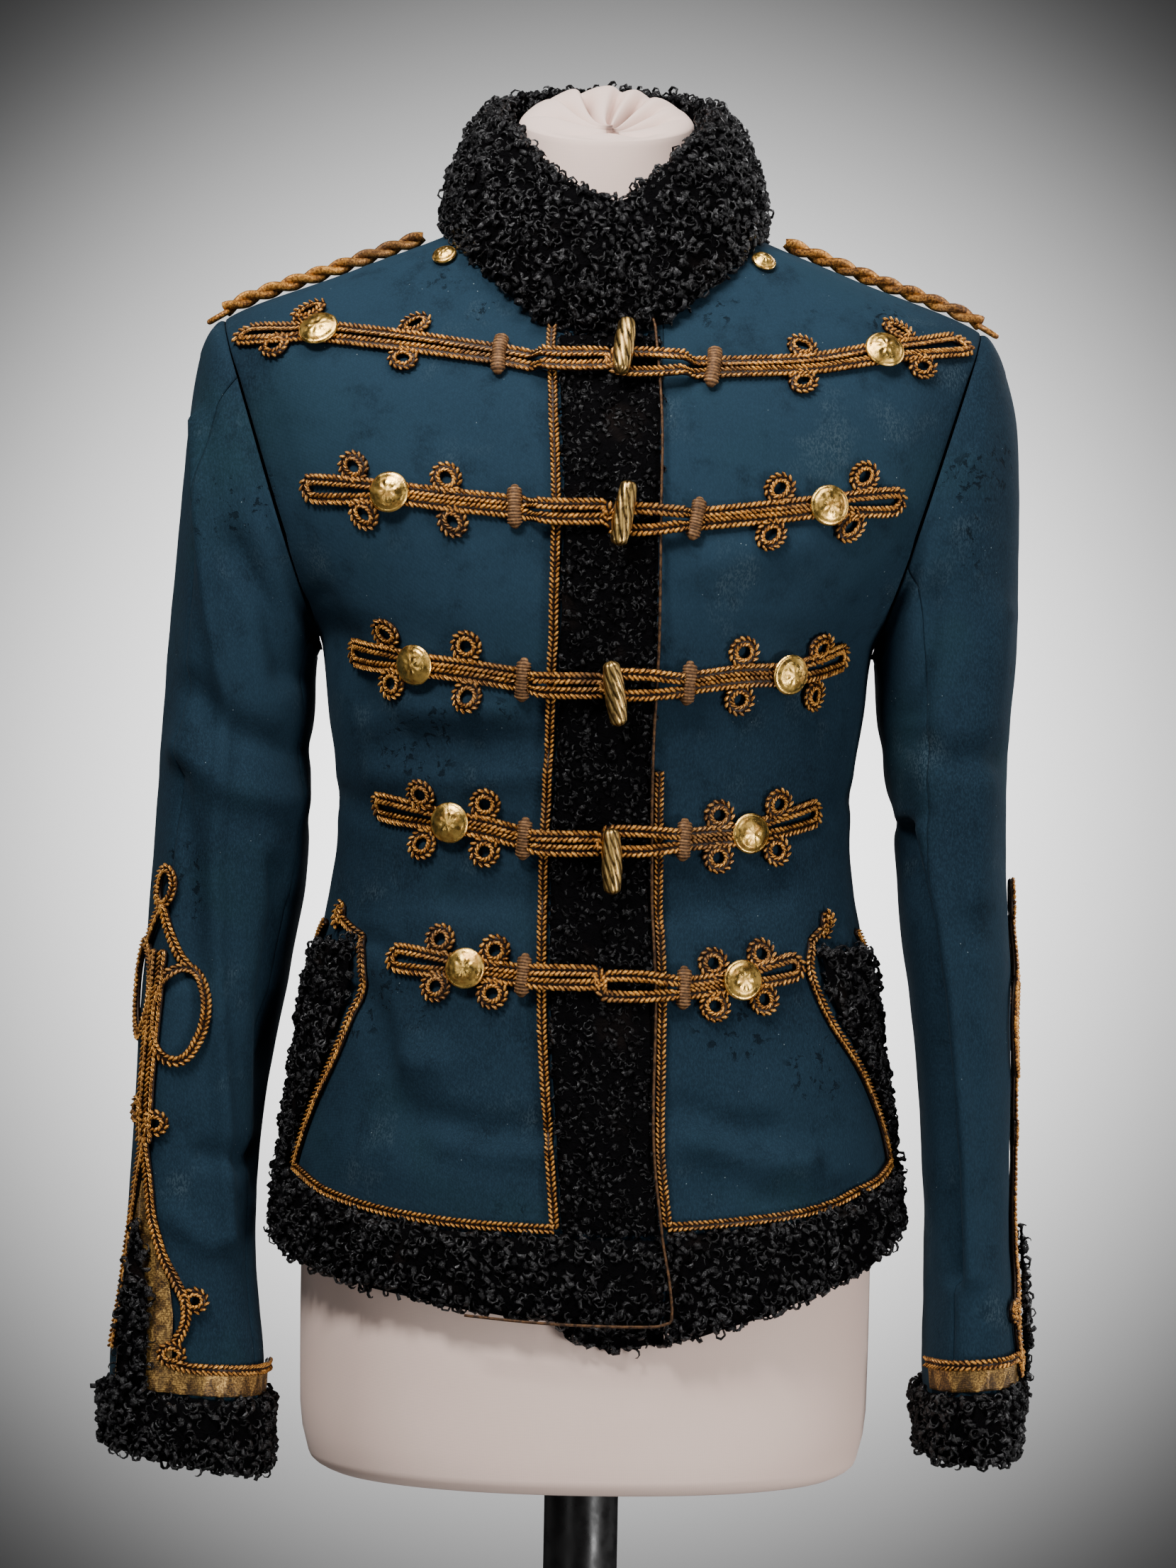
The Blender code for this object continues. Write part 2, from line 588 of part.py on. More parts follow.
def ribbon_sides(path, half, closed):
    """The two edges of a ribbon along a path."""
    count = len(path)
    left, right = [], []
    for number, (x, y) in enumerate(path):
        before = path[(number - 1) % count] if closed or number > 0 else None
        after = path[(number + 1) % count] if closed or number < count - 1 else None
        ways = []
        for start, end in ((before, (x, y)), ((x, y), after)):
            if start is not None and end is not None:
                way = Vector((end[0] - start[0], end[1] - start[1]))
                ways.append(way.normalized())
        along = sum(ways, Vector((0.0, 0.0))).normalized()
        spread = half / max(0.6, along.dot(ways[0]))
        left.append((x - along.y * spread, y + along.x * spread))
        right.append((x + along.y * spread, y - along.x * spread))
    return left, right


def inside(point, corners):
    x, y = point
    odd = False
    for (x0, y0), (x1, y1) in zip(corners, corners[1:] + corners[:1]):
        if (y0 > y) != (y1 > y) and x < x0 + (y - y0) * (x1 - x0) / (y1 - y0):
            odd = not odd
    return odd


def flat_pattern(ribbons, patches=(), holes=(), marks=()):
    """Joins flat ribbons and patches, less their holes, into one sheet of triangles."""
    scale = 1000.0
    points, edges, cells = [], [], []

    def outline(corners):
        start = len(points)
        points.extend(Vector((x * scale, y * scale)) for x, y in corners)
        edges.extend((start + number, start + (number + 1) % len(corners)) for number in range(len(corners)))

    for path, half, closed in ribbons:
        left, right = ribbon_sides(path, half, closed)
        spans = len(path) if closed else len(path) - 1
        for number in range(spans):
            after = (number + 1) % len(path)
            cells.append([left[number], left[after], right[after], right[number]])
        if closed:
            outline(left)
            outline(right)
        else:
            outline(left + right[::-1])
    for patch in patches:
        outline(patch)
        cells.append(list(patch))
    for hole in holes:
        outline(hole)
    points.extend(Vector((x * scale, y * scale)) for x, y in marks)
    corners, _, triangles, *_ = delaunay_2d_cdt(points, edges, [], 0, 0.02)
    flat = [(corner.x / scale, corner.y / scale) for corner in corners]
    kept = []
    for triangle in triangles:
        middle = tuple(sum(flat[number][axis] for number in triangle) / 3 for axis in (0, 1))
        if any(inside(middle, cell) for cell in cells) and not any(inside(middle, hole) for hole in holes):
            kept.append(tuple(triangle))
    return flat, kept


def pattern_solid(name, pattern, place, finish):
    """A closed solid over a flat sheet. place(x, y) gives its lower and upper point."""
    flat, triangles = pattern
    used = sorted({number for triangle in triangles for number in triangle})
    order = {number: place_in for place_in, number in enumerate(used)}
    lower, upper = [], []
    for number in used:
        low, high = place(*flat[number])
        lower.append(low)
        upper.append(high)
    count = len(used)
    faces, sides = [], {}
    for triangle in triangles:
        a, b, c = (order[number] for number in triangle)
        faces.append((a, c, b))
        faces.append((a + count, b + count, c + count))
        for start, end in ((a, b), (b, c), (c, a)):
            if (end, start) in sides:
                del sides[(end, start)]
            else:
                sides[(start, end)] = True
    for start, end in sides:
        faces.append((start, end, end + count, start + count))
    return add_object(name, mesh_from(name, lower + upper, faces), finish)


def oval(x, y, half_width, half_height, count=10, turn=0.0):
    return [
        (
            x + half_width * math.cos(math.tau * number / count + turn),
            y + half_height * math.sin(math.tau * number / count + turn),
        )
        for number in range(count)
    ]


def filled(path, step):
    """A path with places added on its long straight runs."""
    result = []
    for (x0, y0), (x1, y1) in zip(path, path[1:]):
        parts = max(1, math.ceil(math.hypot(x1 - x0, y1 - y0) / step))
        result += [(x0 + (x1 - x0) * part / parts, y0 + (y1 - y0) * part / parts) for part in range(parts)]
    return result + [path[-1]]


# Body panels
def panel(name, rows):
    """A wall of cloth over rows of (angle, height) places."""
    upper = [[body(angle, z) for angle, z in row] for row in rows]
    lower = [[body(angle, z, -CLOTH) for angle, z in row] for row in rows]
    return slab(name, lower, upper, blue_cloth())


def row_between(start, end, count):
    return [
        (start[0] + (end[0] - start[0]) * part / count, start[1] + (end[1] - start[1]) * part / count)
        for part in range(count + 1)
    ]


def gap_angle(z):
    return SEAM / 2 / body_section(z)[1]


def hem_row(side, angles, share):
    """Heights between the cloth's lower edge, 0, and the hem's cord, 1."""
    row = []
    for angle in angles:
        degrees = math.degrees(angle * side)
        bottom, cord = hem_line[side](degrees)
        low, high = bottom + HEM_TURN, cord - BRAID_WIDTH / 2 - SEAT
        row.append((angle, low + (high - low) * share))
    return row


def steps_between(start, end, count):
    return [start + (end - start) * part / count for part in range(count + 1)]


def front_edge_angle(side, z):
    edge = placket_line(z)[1] + (0.0 if side == RIGHT else SEAM)
    return angle_at(edge, z)


def hem_angles(side, share):
    """The columns of a front at one share of the hem's height."""
    angle = front_edge_angle(side, 0.82)
    for _ in range(3):
        height = hem_row(side, [angle], share)[0][1]
        angle = front_edge_angle(side, height)
    return steps_between(angle, side * (math.pi / 2 - gap_angle(1.0)), FRONT_COLUMNS[side])


def back_angles():
    """The columns behind one side seam, to centre back."""
    seam, gap = math.radians(136), gap_angle(1.0)
    side_body_part = steps_between(math.pi / 2 + gap, seam - gap, BACK_COLUMNS)
    return side_body_part + steps_between(seam + gap, math.pi, BACK_COLUMNS)


def front_panel(side):
    """One front, from its free edge to the side seam, armhole, shoulder and neck."""
    name = "front_right" if side == RIGHT else "front_left"
    columns = FRONT_COLUMNS[side]
    outer = side * (math.pi / 2 - gap_angle(1.0))
    rows = [hem_row(side, hem_angles(side, share), share) for share in (0.0, 1.0)]
    for inner_z, outer_z in FRONT_ROWS:
        end = outer if outer_z <= ARMPIT[1] else side * armhole_angle(outer_z)
        rows.append(row_between((front_edge_angle(side, inner_z), inner_z), (end, outer_z), columns))
    for x, inner_z, outer_z in FRONT_NECK:
        start = side * angle_at(x, inner_z)
        end = side * armhole_angle(outer_z)
        if (x, inner_z) == NECK_POINT:
            start = end = outer
        rows.append(row_between((start, inner_z), (end, outer_z), columns))
    return panel(name, rows)


def side_body(side):
    """The narrow piece behind the side seam, from hem to armhole."""
    name = "side_body_right" if side == RIGHT else "side_body_left"
    columns = BACK_COLUMNS
    inner = math.pi / 2 + gap_angle(1.0)
    rows = []
    for share in (0.0, 1.0):
        end = math.radians(136) - gap_angle(1.0)
        rows.append(hem_row(side, [side * angle for angle in steps_between(inner, end, columns)], share))
    for inner_z, angle, outer_z in SIDE_BACK:
        end = math.radians(angle) - gap_angle(1.0)
        rows.append([(side * a, z) for a, z in row_between((inner, inner_z), (end, outer_z), columns)])
    top = []
    for part in range(columns + 1):
        z = ARMPIT[1] + (SIDE_BACK_TOP - ARMPIT[1]) * (part / columns) ** 1.8
        angle = max(inner, armhole_angle(z, behind=True))
        top.append((side * angle, z))
    rows.append(top)
    return panel(name, rows)


def back_panel():
    """The back in one piece, between the two side-back seams, armholes and shoulder seams."""
    columns = BACK_COLUMNS
    gap = gap_angle(1.0)
    rows = []

    def both_sides(half):
        """A row from the wearer's left seam round centre back to the right seam."""
        return half + [(math.tau - angle, z) for angle, z in reversed(half[:-1])]

    for share in (0.0, 1.0):
        half = steps_between(math.radians(136) + gap, math.pi, columns)
        left = hem_row(LEFT, half, share)
        right = hem_row(RIGHT, [-angle for angle in half], share)
        rows.append(left + [(math.tau + angle, z) for angle, z in reversed(right[:-1])])
    for _, angle, z in SIDE_BACK:
        rows.append(both_sides(row_between((math.radians(angle) + gap, z), (math.pi, z), columns)))
    for centre_z, outer_z in ((SIDE_BACK_TOP, SIDE_BACK_TOP),) + BACK_ROWS:
        angle = armhole_angle(outer_z, behind=True)
        if outer_z == SIDE_BACK_TOP:
            angle += gap
        rows.append(both_sides(row_between((angle, outer_z), (math.pi, centre_z), columns)))
    for centre_z, outer_z in BACK_SHOULDER_ROWS:
        rows.append(both_sides(row_between((math.pi / 2 + gap, outer_z), (math.pi, centre_z), columns)))
    return panel("back", rows)


# Sleeves
def sleeve_place(side, ring, turn):
    """A point of the sleeve: turn 0 at its outer edge, 90 degrees at its front."""
    x_out, z_out, x_in, z_in, middle, depth = sleeve_ring[side](ring)
    power = 2 / SLEEVE_ROUNDNESS
    along = signed_power(math.cos(turn), power)
    x = (x_out + x_in) / 2 + (x_out - x_in) / 2 * along
    z = (z_out + z_in) / 2 + (z_out - z_in) / 2 * along
    y = middle - depth * signed_power(math.sin(turn), power)
    if ring < 1:
        angle = armhole_angle(z, behind=math.sin(turn) < 0)
        on_body = bare_body(angle, z).y
        share = smooth_step(ring)
        y = on_body + (y - on_body) * share
        x += SEAM + 0.0001
    place, half_width, height = CREASE[side]
    off = (math.degrees(turn) - place + 180) % 360 - 180
    lift = height * math.exp(-(off / half_width) ** 2) * smooth_step((ring - 0.5) / 2) * smooth_step((12.5 - ring) / 4)
    outward = Vector(((x_out - x_in) / 2 * along, -depth * signed_power(math.sin(turn), power))).normalized()
    return Vector((side * (x + outward.x * lift), y + outward.y * lift, z))


def sleeve_normal(side, ring, turn):
    angle, step = math.radians(1.5), 0.04
    around = sleeve_place(side, ring, turn + angle) - sleeve_place(side, ring, turn - angle)
    low, high = max(0.0, ring - step), min(SLEEVE_HEM, ring + step)
    down = sleeve_place(side, high, turn) - sleeve_place(side, low, turn)
    normal = (around.cross(down) * side).normalized()
    if ring < 1:
        plane = Vector((side * (SHOULDER_TIP[1] - ARMPIT[1]), 0, ARMPIT[0] - SHOULDER_TIP[0])).normalized()
        in_plane = normal - plane * normal.dot(plane)
        normal = in_plane.normalized().lerp(normal, ring).normalized()
    return normal


def sleeve(side, ring, turn, out=0.0):
    """A point of the sleeve moved out. Past the last ring it goes on straight down."""
    base = min(ring, SLEEVE_HEM)
    point = sleeve_place(side, base, turn)
    if ring > SLEEVE_HEM:
        before = sleeve_place(side, SLEEVE_HEM - 0.2, turn)
        point += (point - before) * ((ring - SLEEVE_HEM) / 0.2)
    return point + sleeve_normal(side, base, turn) * out


def sleeve_shell(side, part):
    """The upper or the under sleeve, each from one long seam to the other."""
    word = "right" if side == RIGHT else "left"
    start, end = HIND_SEAM[side], FORE_SEAM[side]
    columns = UPPER_COLUMNS if part == "upper" else 10
    if part == "under":
        start, end = end, start + 360
    seam_turn = 0.2
    turns = [math.radians(turn) for turn in steps_between(start + seam_turn, end - seam_turn, columns)]
    lower = [[sleeve(side, ring, turn, -CLOTH) for turn in turns] for ring in SHELL_RINGS]
    upper = [[sleeve(side, ring, turn) for turn in turns] for ring in SHELL_RINGS]
    return slab(f"sleeve_{word}_{part}", lower, upper, blue_cloth())


def sleeve_flat(side):
    """Turns flat places into a ring number and a turn, with places on the cloth's ridges."""
    turns = np.radians(np.arange(-180, 361, 5.0))
    places = [sleeve_place(side, 11.5, turn) for turn in turns]
    steps = [(after - before).length for before, after in zip(places, places[1:])]
    lengths = np.concatenate(([0.0], np.cumsum(steps)))
    lengths -= np.interp(math.radians(HIND_SEAM[side]), turns, lengths)
    rings = np.arange(4, SLEEVE_HEM + 0.01, 0.25)

    def find(across, z):
        turn = float(np.interp(across, lengths, turns))
        heights = [sleeve_place(side, ring, turn).z for ring in rings]
        ring = float(np.interp(-z, [-height for height in heights], rings))
        return ring, turn
    marks = []
    for number, turn in enumerate(steps_between(HIND_SEAM[side], FORE_SEAM[side], UPPER_COLUMNS)[1:]):
        ridge = float(np.interp(math.radians(turn), turns, lengths))
        marks += [(ridge, z) for z in steps_between(0.750, 0.790, 10)]
        if number == 0:
            marks += [(ridge, z) for z in steps_between(0.800, 1.020, 22)]
    return find, marks


def cuff_top_height(side, across, find):
    _, turn = find(across, 0.80)
    return sleeve_place(side, CUFF_TOP, turn).z


def knot_pattern(side, find, ridge):
    """The sleeve's knot, its legs round the slit and the band's cord, as flat braid."""
    half = BRAID_WIDTH / 2
    ribbons = [(oval(*KNOT_EYE, 8), half, True)]
    ribbons += [(oval(*ring, 10), half, True) for ring in KNOT_RINGS]
    ribbons += [(oval(*ring, 6), half, True) for ring in KNOT_LEAVES + KNOT_CURLS]
    ribbons += [(list(path), half, False) for path in KNOT_STRANDS]
    ribbons.append((list(KNOT_STEM), half * 1.5, False))
    ribbons += [(list(path), half, False) for path in (KNOT_BACK_LEG, KNOT_FRONT_LEG)]
    curl_x, curl_z, _, curl_half = KNOT_CURLS[-1]
    band = [(curl_x, curl_z - curl_half)]
    for across in steps_between(KNOT_BAND_START, KNOT_BAND_LENGTH[side], 5):
        band.append((across, cuff_top_height(side, across, find) + KNOT_BAND_LIFT))
    ribbons.append((band, half, False))
    return flat_pattern(ribbons, marks=ridge)


def cuff_trims(side, cloth):
    """Lace, knot and slit fur of one cuff, laid over each other."""
    word = "right" if side == RIGHT else "left"
    find, ridge = sleeve_flat(side)

    def placer(low, high, low_above=None):
        def place(across, z):
            ring, turn = find(across, z)
            point, normal = sleeve_place(side, ring, turn), sleeve_normal(side, ring, turn)
            start = low
            if low_above is not None:
                start += (low_above - low) * smooth_step((z - 0.872) / 0.014)
            return cloth.seat(point, normal, start), cloth.seat(point, normal, start + high - low)
        return place

    def floor_at(across):
        return cuff_top_height(side, across, find) + 0.0008

    end = KNOT_BAND_LENGTH[side] - 0.001
    lift = KNOT_BAND_LIFT - 0.001
    low_edge = [(across, floor_at(across)) for across in steps_between(0.0, end, 8)]
    high_edge = [(across, floor_at(across) + lift) for across in steps_between(end, 0.0215, 7)]
    middle = [(0.0, z) for z in (0.870, 0.848, 0.826, 0.804, 0.782)]
    front_half = middle[::-1] + [(0.006, 0.848), (0.012, 0.829), (0.019, 0.813), (0.0215, 0.795)]
    front_half = low_edge[::-1] + front_half + high_edge[::-1]
    back_half = middle + [(0.0, floor_at(0.0)), (-0.015, floor_at(-0.015)), (-0.015, 0.790), (-0.011, 0.820)]
    back_half.append((-0.007, 0.848))
    lace_seat = CORD_SEAT + SEAT
    lace_top = lace_seat + LACE
    lace = flat_pattern([], [front_half, back_half], marks=ridge)
    pattern_solid(f"cuff_lace_{word}", lace, placer(lace_seat, lace_top), gold_lace())
    seat = lace_top + 0.0023
    knot = knot_pattern(side, find, ridge)
    pattern_solid(
        f"cuff_knot_{word}", knot, placer(seat, seat + BRAID_HEIGHT, CORD_SEAT + 0.0011), gold_braid()
    )
    drop = 0.0008
    middle = [(0.0, z) for z in (SLIT_FUR[0][1], 0.826, 0.804, 0.782, floor_at(0.0) - drop)]
    halves = []
    for sign in (1, -1):
        edge = [(sign * half, z) for half, z in SLIT_FUR]
        edge.append((sign * 0.0100, floor_at(sign * 0.0100) - drop))
        halves.append(middle[::-1] + edge)
    fur = flat_pattern([], halves)
    pattern_solid(f"slit_fur_{word}", fur, placer(seat, PILE), black_fur())


def cuff_fur(side, cloth):
    word = "right" if side == RIGHT else "left"
    turns = [math.radians(number * 360 / 16) for number in range(16)]
    lower, upper = [], []
    for ring, share in CUFF_ROWS:
        low_row, high_row = [], []
        for turn in turns:
            high_row.append(sleeve(side, ring, turn, PILE * share))
            low_row.append(sleeve(side, ring, turn, FUR_SEAT + 0.0004))
        lower.append(low_row)
        upper.append(high_row)
    return slab(f"cuff_fur_{word}", lower, upper, black_fur(), ring=True)


# Fur
def fur_skin(name, rows, cloth, pile, low=FUR_SEAT):
    """Fur over rows of (angle, height) places, thinner along its edges."""
    last_row = len(rows) - 1
    lower, upper = [], []
    for number, row in enumerate(rows):
        last = len(row) - 1
        low_row, high_row = [], []
        for column, (angle, z) in enumerate(row):
            rim = number in (0, last_row) or column in (0, last)
            share = 0.45 if rim else 1.0
            point, normal = body(angle, z), body_normal(angle, z)
            low_row.append(cloth.seat(point, normal, low))
            high_row.append(cloth.seat(point, normal, low + (pile - low) * share))
        lower.append(low_row)
        upper.append(high_row)
    return slab(name, lower, upper, black_fur())


def thin_edges(values, rim):
    """Adds a place close inside each end, so that the fur rounds off there."""
    first = values[0] + rim * math.copysign(1, values[-1] - values[0])
    last = values[-1] - rim * math.copysign(1, values[-1] - values[0])
    return [values[0], first] + values[1:-1] + [last, values[-1]]


def hem_fur_rows(side, angles):
    rows = []
    for share in (-0.06, 0.08, 0.90, 1.0):
        rows.append(hem_row(side, angles, share))
    return rows


def side_cord_path(side):
    """Height and distance round the body, down the front edge of a side fur."""
    path = [(z, arc_to(angle_at(x, z), z)) for x, z in SIDE_CORD[side]]
    corner = float(hem_line[side](SIDE_CORNER[side])[1])
    path.append((corner, arc_to(math.radians(SIDE_CORNER[side]), corner)))
    return path


def back_cord_path():
    return [(z, arc_to(math.radians(angle), z)) for angle, z in BACK_CORD_SPAN]


def path_place(path, z):
    """Where a falling path is at a height, and how much it slants there."""
    for (high, before), (low, after) in zip(path, path[1:]):
        if low <= z:
            break
    slope = (after - before) / (high - low)
    return before + (high - z) * slope, slope


def furs(cloth):
    for side, name in ((RIGHT, "hem_fur_right"), (LEFT, "hem_fur_left")):
        angles = list(hem_angles(side, 0.5))
        angles[0] += side * SEAM / 0.12
        angles.insert(1, angles[0] + side * 0.03)
        fur_skin(name, hem_fur_rows(side, angles), cloth, PILE, CORD_SEAT)
    half = back_angles()
    left = hem_fur_rows(LEFT, half)
    right = hem_fur_rows(RIGHT, [-angle for angle in half])
    rows = []
    for left_row, right_row in zip(left, right):
        rows.append(left_row + [(angle + math.tau, z) for angle, z in reversed(right_row[:-1])])
    fur_skin("hem_fur_back", rows, cloth, PILE, CORD_SEAT)
    rows = []
    for z in thin_edges(steps_between(0.8500, PLACKET_TOP, 13), 0.003):
        cord, edge = placket_line(z)
        start = cord + BRAID_WIDTH / 2 + 0.0009
        places = [start, start + 0.003, 0.005, edge - SEAM - 0.003, edge - SEAM]
        rows.append([(angle_at(x, z), z) for x in places])
    fur_skin("front_fur_right", rows, cloth, EDGE_FUR)
    underlap()
    off = BRAID_WIDTH / 2 + CORD_SEAT
    for side, name in ((RIGHT, "side_fur_right"), (LEFT, "side_fur_left")):
        rows = []
        for z in SIDE_FUR_HEIGHTS:
            ends = []
            for path, way in ((side_cord_path(side), 1), (back_cord_path(), -1)):
                across, slope = path_place(path, z)
                ends.append(arc_angle(across + way * off * math.hypot(1.0, slope), z))
            rows.append([(side * angle, z) for angle in rounded_span(*ends)])
        ends[0] = max(ends[0], math.radians(SIDE_CORNER[side] + 2.9))
        lowest = hem_row(side, [side * angle for angle in rounded_span(*ends)], 1.0)
        rows.append([(angle, z + SEAT) for angle, z in lowest])
        fur_skin(name, rows, cloth, PILE, SIDE_FUR_SEAT)


def rounded_span(start, end):
    """Columns from one edge to another, with one close inside each."""
    width = end - start
    rim = min(0.032, width / 5)
    return [start, start + rim, start + width / 3, end - width / 3, end - rim, end]


def underlap():
    """The fur of the wearer's left front where it passes behind the right and shows below."""
    low, high = -CLOTH - 0.0075, -CLOTH - 0.0018
    rows = []
    for share in (0.0, 0.1, 0.5, 1.0):
        row = []
        for x, bottom in ((-0.013, 0.7950), (-0.001, 0.7885), (0.011, 0.7855), (0.028, 0.7870), (0.0455, 0.7890)):
            z = bottom + (0.850 - bottom) * share
            row.append((angle_at(x, z), z))
        rows.append(row)
    lower = [[body(angle, z, low) for angle, z in row] for row in rows]
    upper = [[body(angle, z, high) for angle, z in row] for row in rows]
    slab("front_fur_left", lower, upper, black_fur())


def collar():
    """The fur collar, from the neckline up to its rim, open at centre front."""
    half = []
    for x, z, where, rim_x, rim_y, rim_z in COLLAR:
        angle = math.pi / 2 if where == "side" else angle_at(x, z)
        if where == "back":
            angle = math.pi - angle
        inner, outer = [], []
        foot, normal = bare_body(angle, z), body_normal(angle, z)
        rim = Vector((rim_x, rim_y, rim_z))
        centre = Vector((0.0, 0.004, rim_z))
        inward = (centre - rim).normalized()
        inner_rim = rim + inward * COLLAR_THICK + Vector((0, 0, -0.002))
        outer_foot = foot + normal * COLLAR_PILE
        inner_foot = foot + normal * (FUR_SEAT + SEAM)
        for share, pile, swell in COLLAR_STEPS:
            inside_point = inner_foot.lerp(inner_rim, share)
            outside_point = outer_foot.lerp(rim, share) - inward * swell
            outer.append(inside_point.lerp(outside_point, pile))
            inner.append(inside_point)
        half.append((inner, outer))
    columns = []
    for side in (LEFT, RIGHT):
        part = half if side == LEFT else list(reversed(half[:-1]))
        for inner, outer in part:
            columns.append([
                [Vector((side * point.x, point.y, point.z)) for point in line] for line in (inner, outer)
            ])
    first, last = columns[0], columns[-1]
    for column, shift in ((first, 0.0003), (last, -0.0003)):
        for line in column:
            for point in line:
                point.x = COLLAR_SPLIT_X + shift
    for column, share in ((columns[1], 0.5), (columns[-2], 0.5)):
        for line in column:
            for point in line:
                point.x += (COLLAR_SPLIT_X * share)
    lower = [[column[0][row] for column in columns] for row in range(len(COLLAR_STEPS))]
    upper = [[column[1][row] for column in columns] for row in range(len(COLLAR_STEPS))]
    return slab("collar_fur", lower, upper, black_fur())


# Braid
def frog_height(x):
    """Lower side of the frogs: over the front edge's cord and its fur they climb."""
    over = max(EDGE_FUR, CORD_SEAT + BRAID_HEIGHT) + SEAT + SEAM
    right_climb = smooth_step((x + FROG_CLIMB[RIGHT][0]) / (FROG_CLIMB[RIGHT][0] - FROG_CLIMB[RIGHT][1]))
    left_climb = smooth_step((FROG_CLIMB[LEFT][0] - x) / (FROG_CLIMB[LEFT][0] - FROG_CLIMB[LEFT][1]))
    return TRIM_SEAT + (over - TRIM_SEAT) * min(right_climb, left_climb)


def frog_path(frog, side, flat):
    """Flat shapes of one half of a frog, from its inner end to its tip."""
    half = BRAID_WIDTH / 2
    flatten = frog["flatten"]
    edge = frog["edge_z"]

    def spot(x, z):
        return flat(side * x, z), z

    meet = flat(FROG_MEET + side * SEAM * 1.5, edge)
    keeper = spot(frog["keeper_x"], frog["keeper_z"])
    pair = spot(frog["pair_x"], frog["pair_z"])
    button = spot(frog["button_x"], frog["button_z"])
    leaf = spot(frog["leaf_x"], frog["leaf_z"])
    tip = spot(frog["tip_x"], frog["tip_z"])
    ribbons, patches, holes = [], [], []
    bar = [keeper, pair, button]
    climb = [flat(side * place, edge) for place in reversed(FROG_CLIMB[side])]
    if side == RIGHT:
        bar = [(meet, edge), (climb[0], edge)] + ([(climb[1], edge)] if frog["keeper_x"] > 0.043 else []) + bar
    else:
        start = flat(LOOP_START, edge)
        for sign in (1, -1):
            ribbons.append(([
                (meet, edge + sign * LOOP_SPREAD), (start, edge + sign * LOOP_SPREAD),
                (climb[0], edge + sign * RUN_OFFSET), (keeper[0], keeper[1] + sign * RUN_OFFSET),
            ], half, False))
        ribbons.append(([(meet + half, edge - LOOP_SPREAD), (meet + half, edge + LOOP_SPREAD)], half, False))
    ribbons.append((filled(bar, 0.026), RUN_OFFSET + half, False))
    radius = RING_RADIUS
    for centre, spread in ((pair, frog["pair_spread"]), (leaf, frog["leaf_spread"])):
        for sign in (1, -1):
            x, z = centre[0], centre[1] + sign * spread / 2
            patches.append(oval(x, z, radius + half, radius * flatten + half, 8, math.pi / 8))
            holes.append(oval(x, z, radius - half, radius * flatten - half, 6))
    x, z = (button[0] + tip[0]) / 2, (button[1] + tip[1]) / 2
    reach = Vector((tip[0] - button[0], tip[1] - button[1]))
    length, turn = reach.length / 2, math.atan2(reach.y, reach.x)

    def turned_oval(half_length, half_width, count):
        return [
            (x + a * math.cos(turn) - b * math.sin(turn), z + a * math.sin(turn) + b * math.cos(turn))
            for a, b in oval(0, 0, half_length, half_width, count)
        ]

    patches.append(turned_oval(length + half, TIP_HALF_WIDTH * flatten + half, 10))
    holes.append(turned_oval(length - half, max(0.0009, TIP_HALF_WIDTH * flatten - half), 6))
    wide, tall = KEEPER_HALF
    patches.append([
        (keeper[0] - wide, keeper[1] - tall), (keeper[0] + wide, keeper[1] - tall),
        (keeper[0] + wide, keeper[1] + tall), (keeper[0] - wide, keeper[1] + tall),
    ])
    return flat_pattern(ribbons, patches, holes)


def frogs(cloth):
    for side, word in ((RIGHT, "right"), (LEFT, "left")):
        for number, row in enumerate(FROGS[side]):
            frog = dict(zip(FROG_COLUMNS, row))
            level = frog["button_z"]

            def flat(x, z):
                return arc_to(angle_at(x, z), level)

            def place(across, z):
                angle = arc_angle(across, level)
                point, normal = body(angle, z), body_normal(angle, z)
                low = frog_height(point.x)
                return cloth.seat(point, normal, low), cloth.seat(point, normal, low + BRAID_HEIGHT)

            pattern_solid(f"frog_{number + 1}_{word}", frog_path(frog, side, flat), place, gold_braid())
            angle = angle_at(side * frog["button_x"], frog["button_z"])
            normal = body_normal(angle, frog["button_z"])
            seat = cloth.seat(body(angle, frog["button_z"]), normal, TRIM_SEAT + BRAID_HEIGHT + SEAT)
            button(f"button_{number + 1}_{word}", seat, normal, BUTTON_RADIUS, BUTTON_HEIGHT)


def button(name, seat, normal, radius, height):
    """A domed gilt button with a thin rim, standing on its flat back."""
    profile = [
        (0.0, height), (radius * 0.60, height * 0.84), (radius, height * 0.28), (radius * 0.94, 0.0),
        (0.0, 0.0),
    ]
    turned(name, profile, 12, facing(seat, normal), gilt_metal())


def toggles(cloth):
    """Barrel toggles, standing on the frogs across the front edge."""
    half, radius = TOGGLE_LENGTH / 2, TOGGLE_RADIUS
    profile = [
        (0.0, half), (radius * 0.55, half * 0.95), (radius, half * 0.25), (radius, -half * 0.25),
        (radius * 0.55, -half * 0.95), (0.0, -half),
    ]
    for number, (x, z, lean) in enumerate(TOGGLES):
        angle = angle_at(x, z)
        normal = body_normal(angle, z)
        out = frog_height(x) + BRAID_HEIGHT + SEAM + radius
        seat = cloth.seat(body(angle, z), normal, out)
        place = facing(seat, normal, lean=-lean) @ Matrix.Rotation(-math.pi / 2, 4, "X")
        turned(f"toggle_{number + 1}", profile, 10, place, aged_brass())


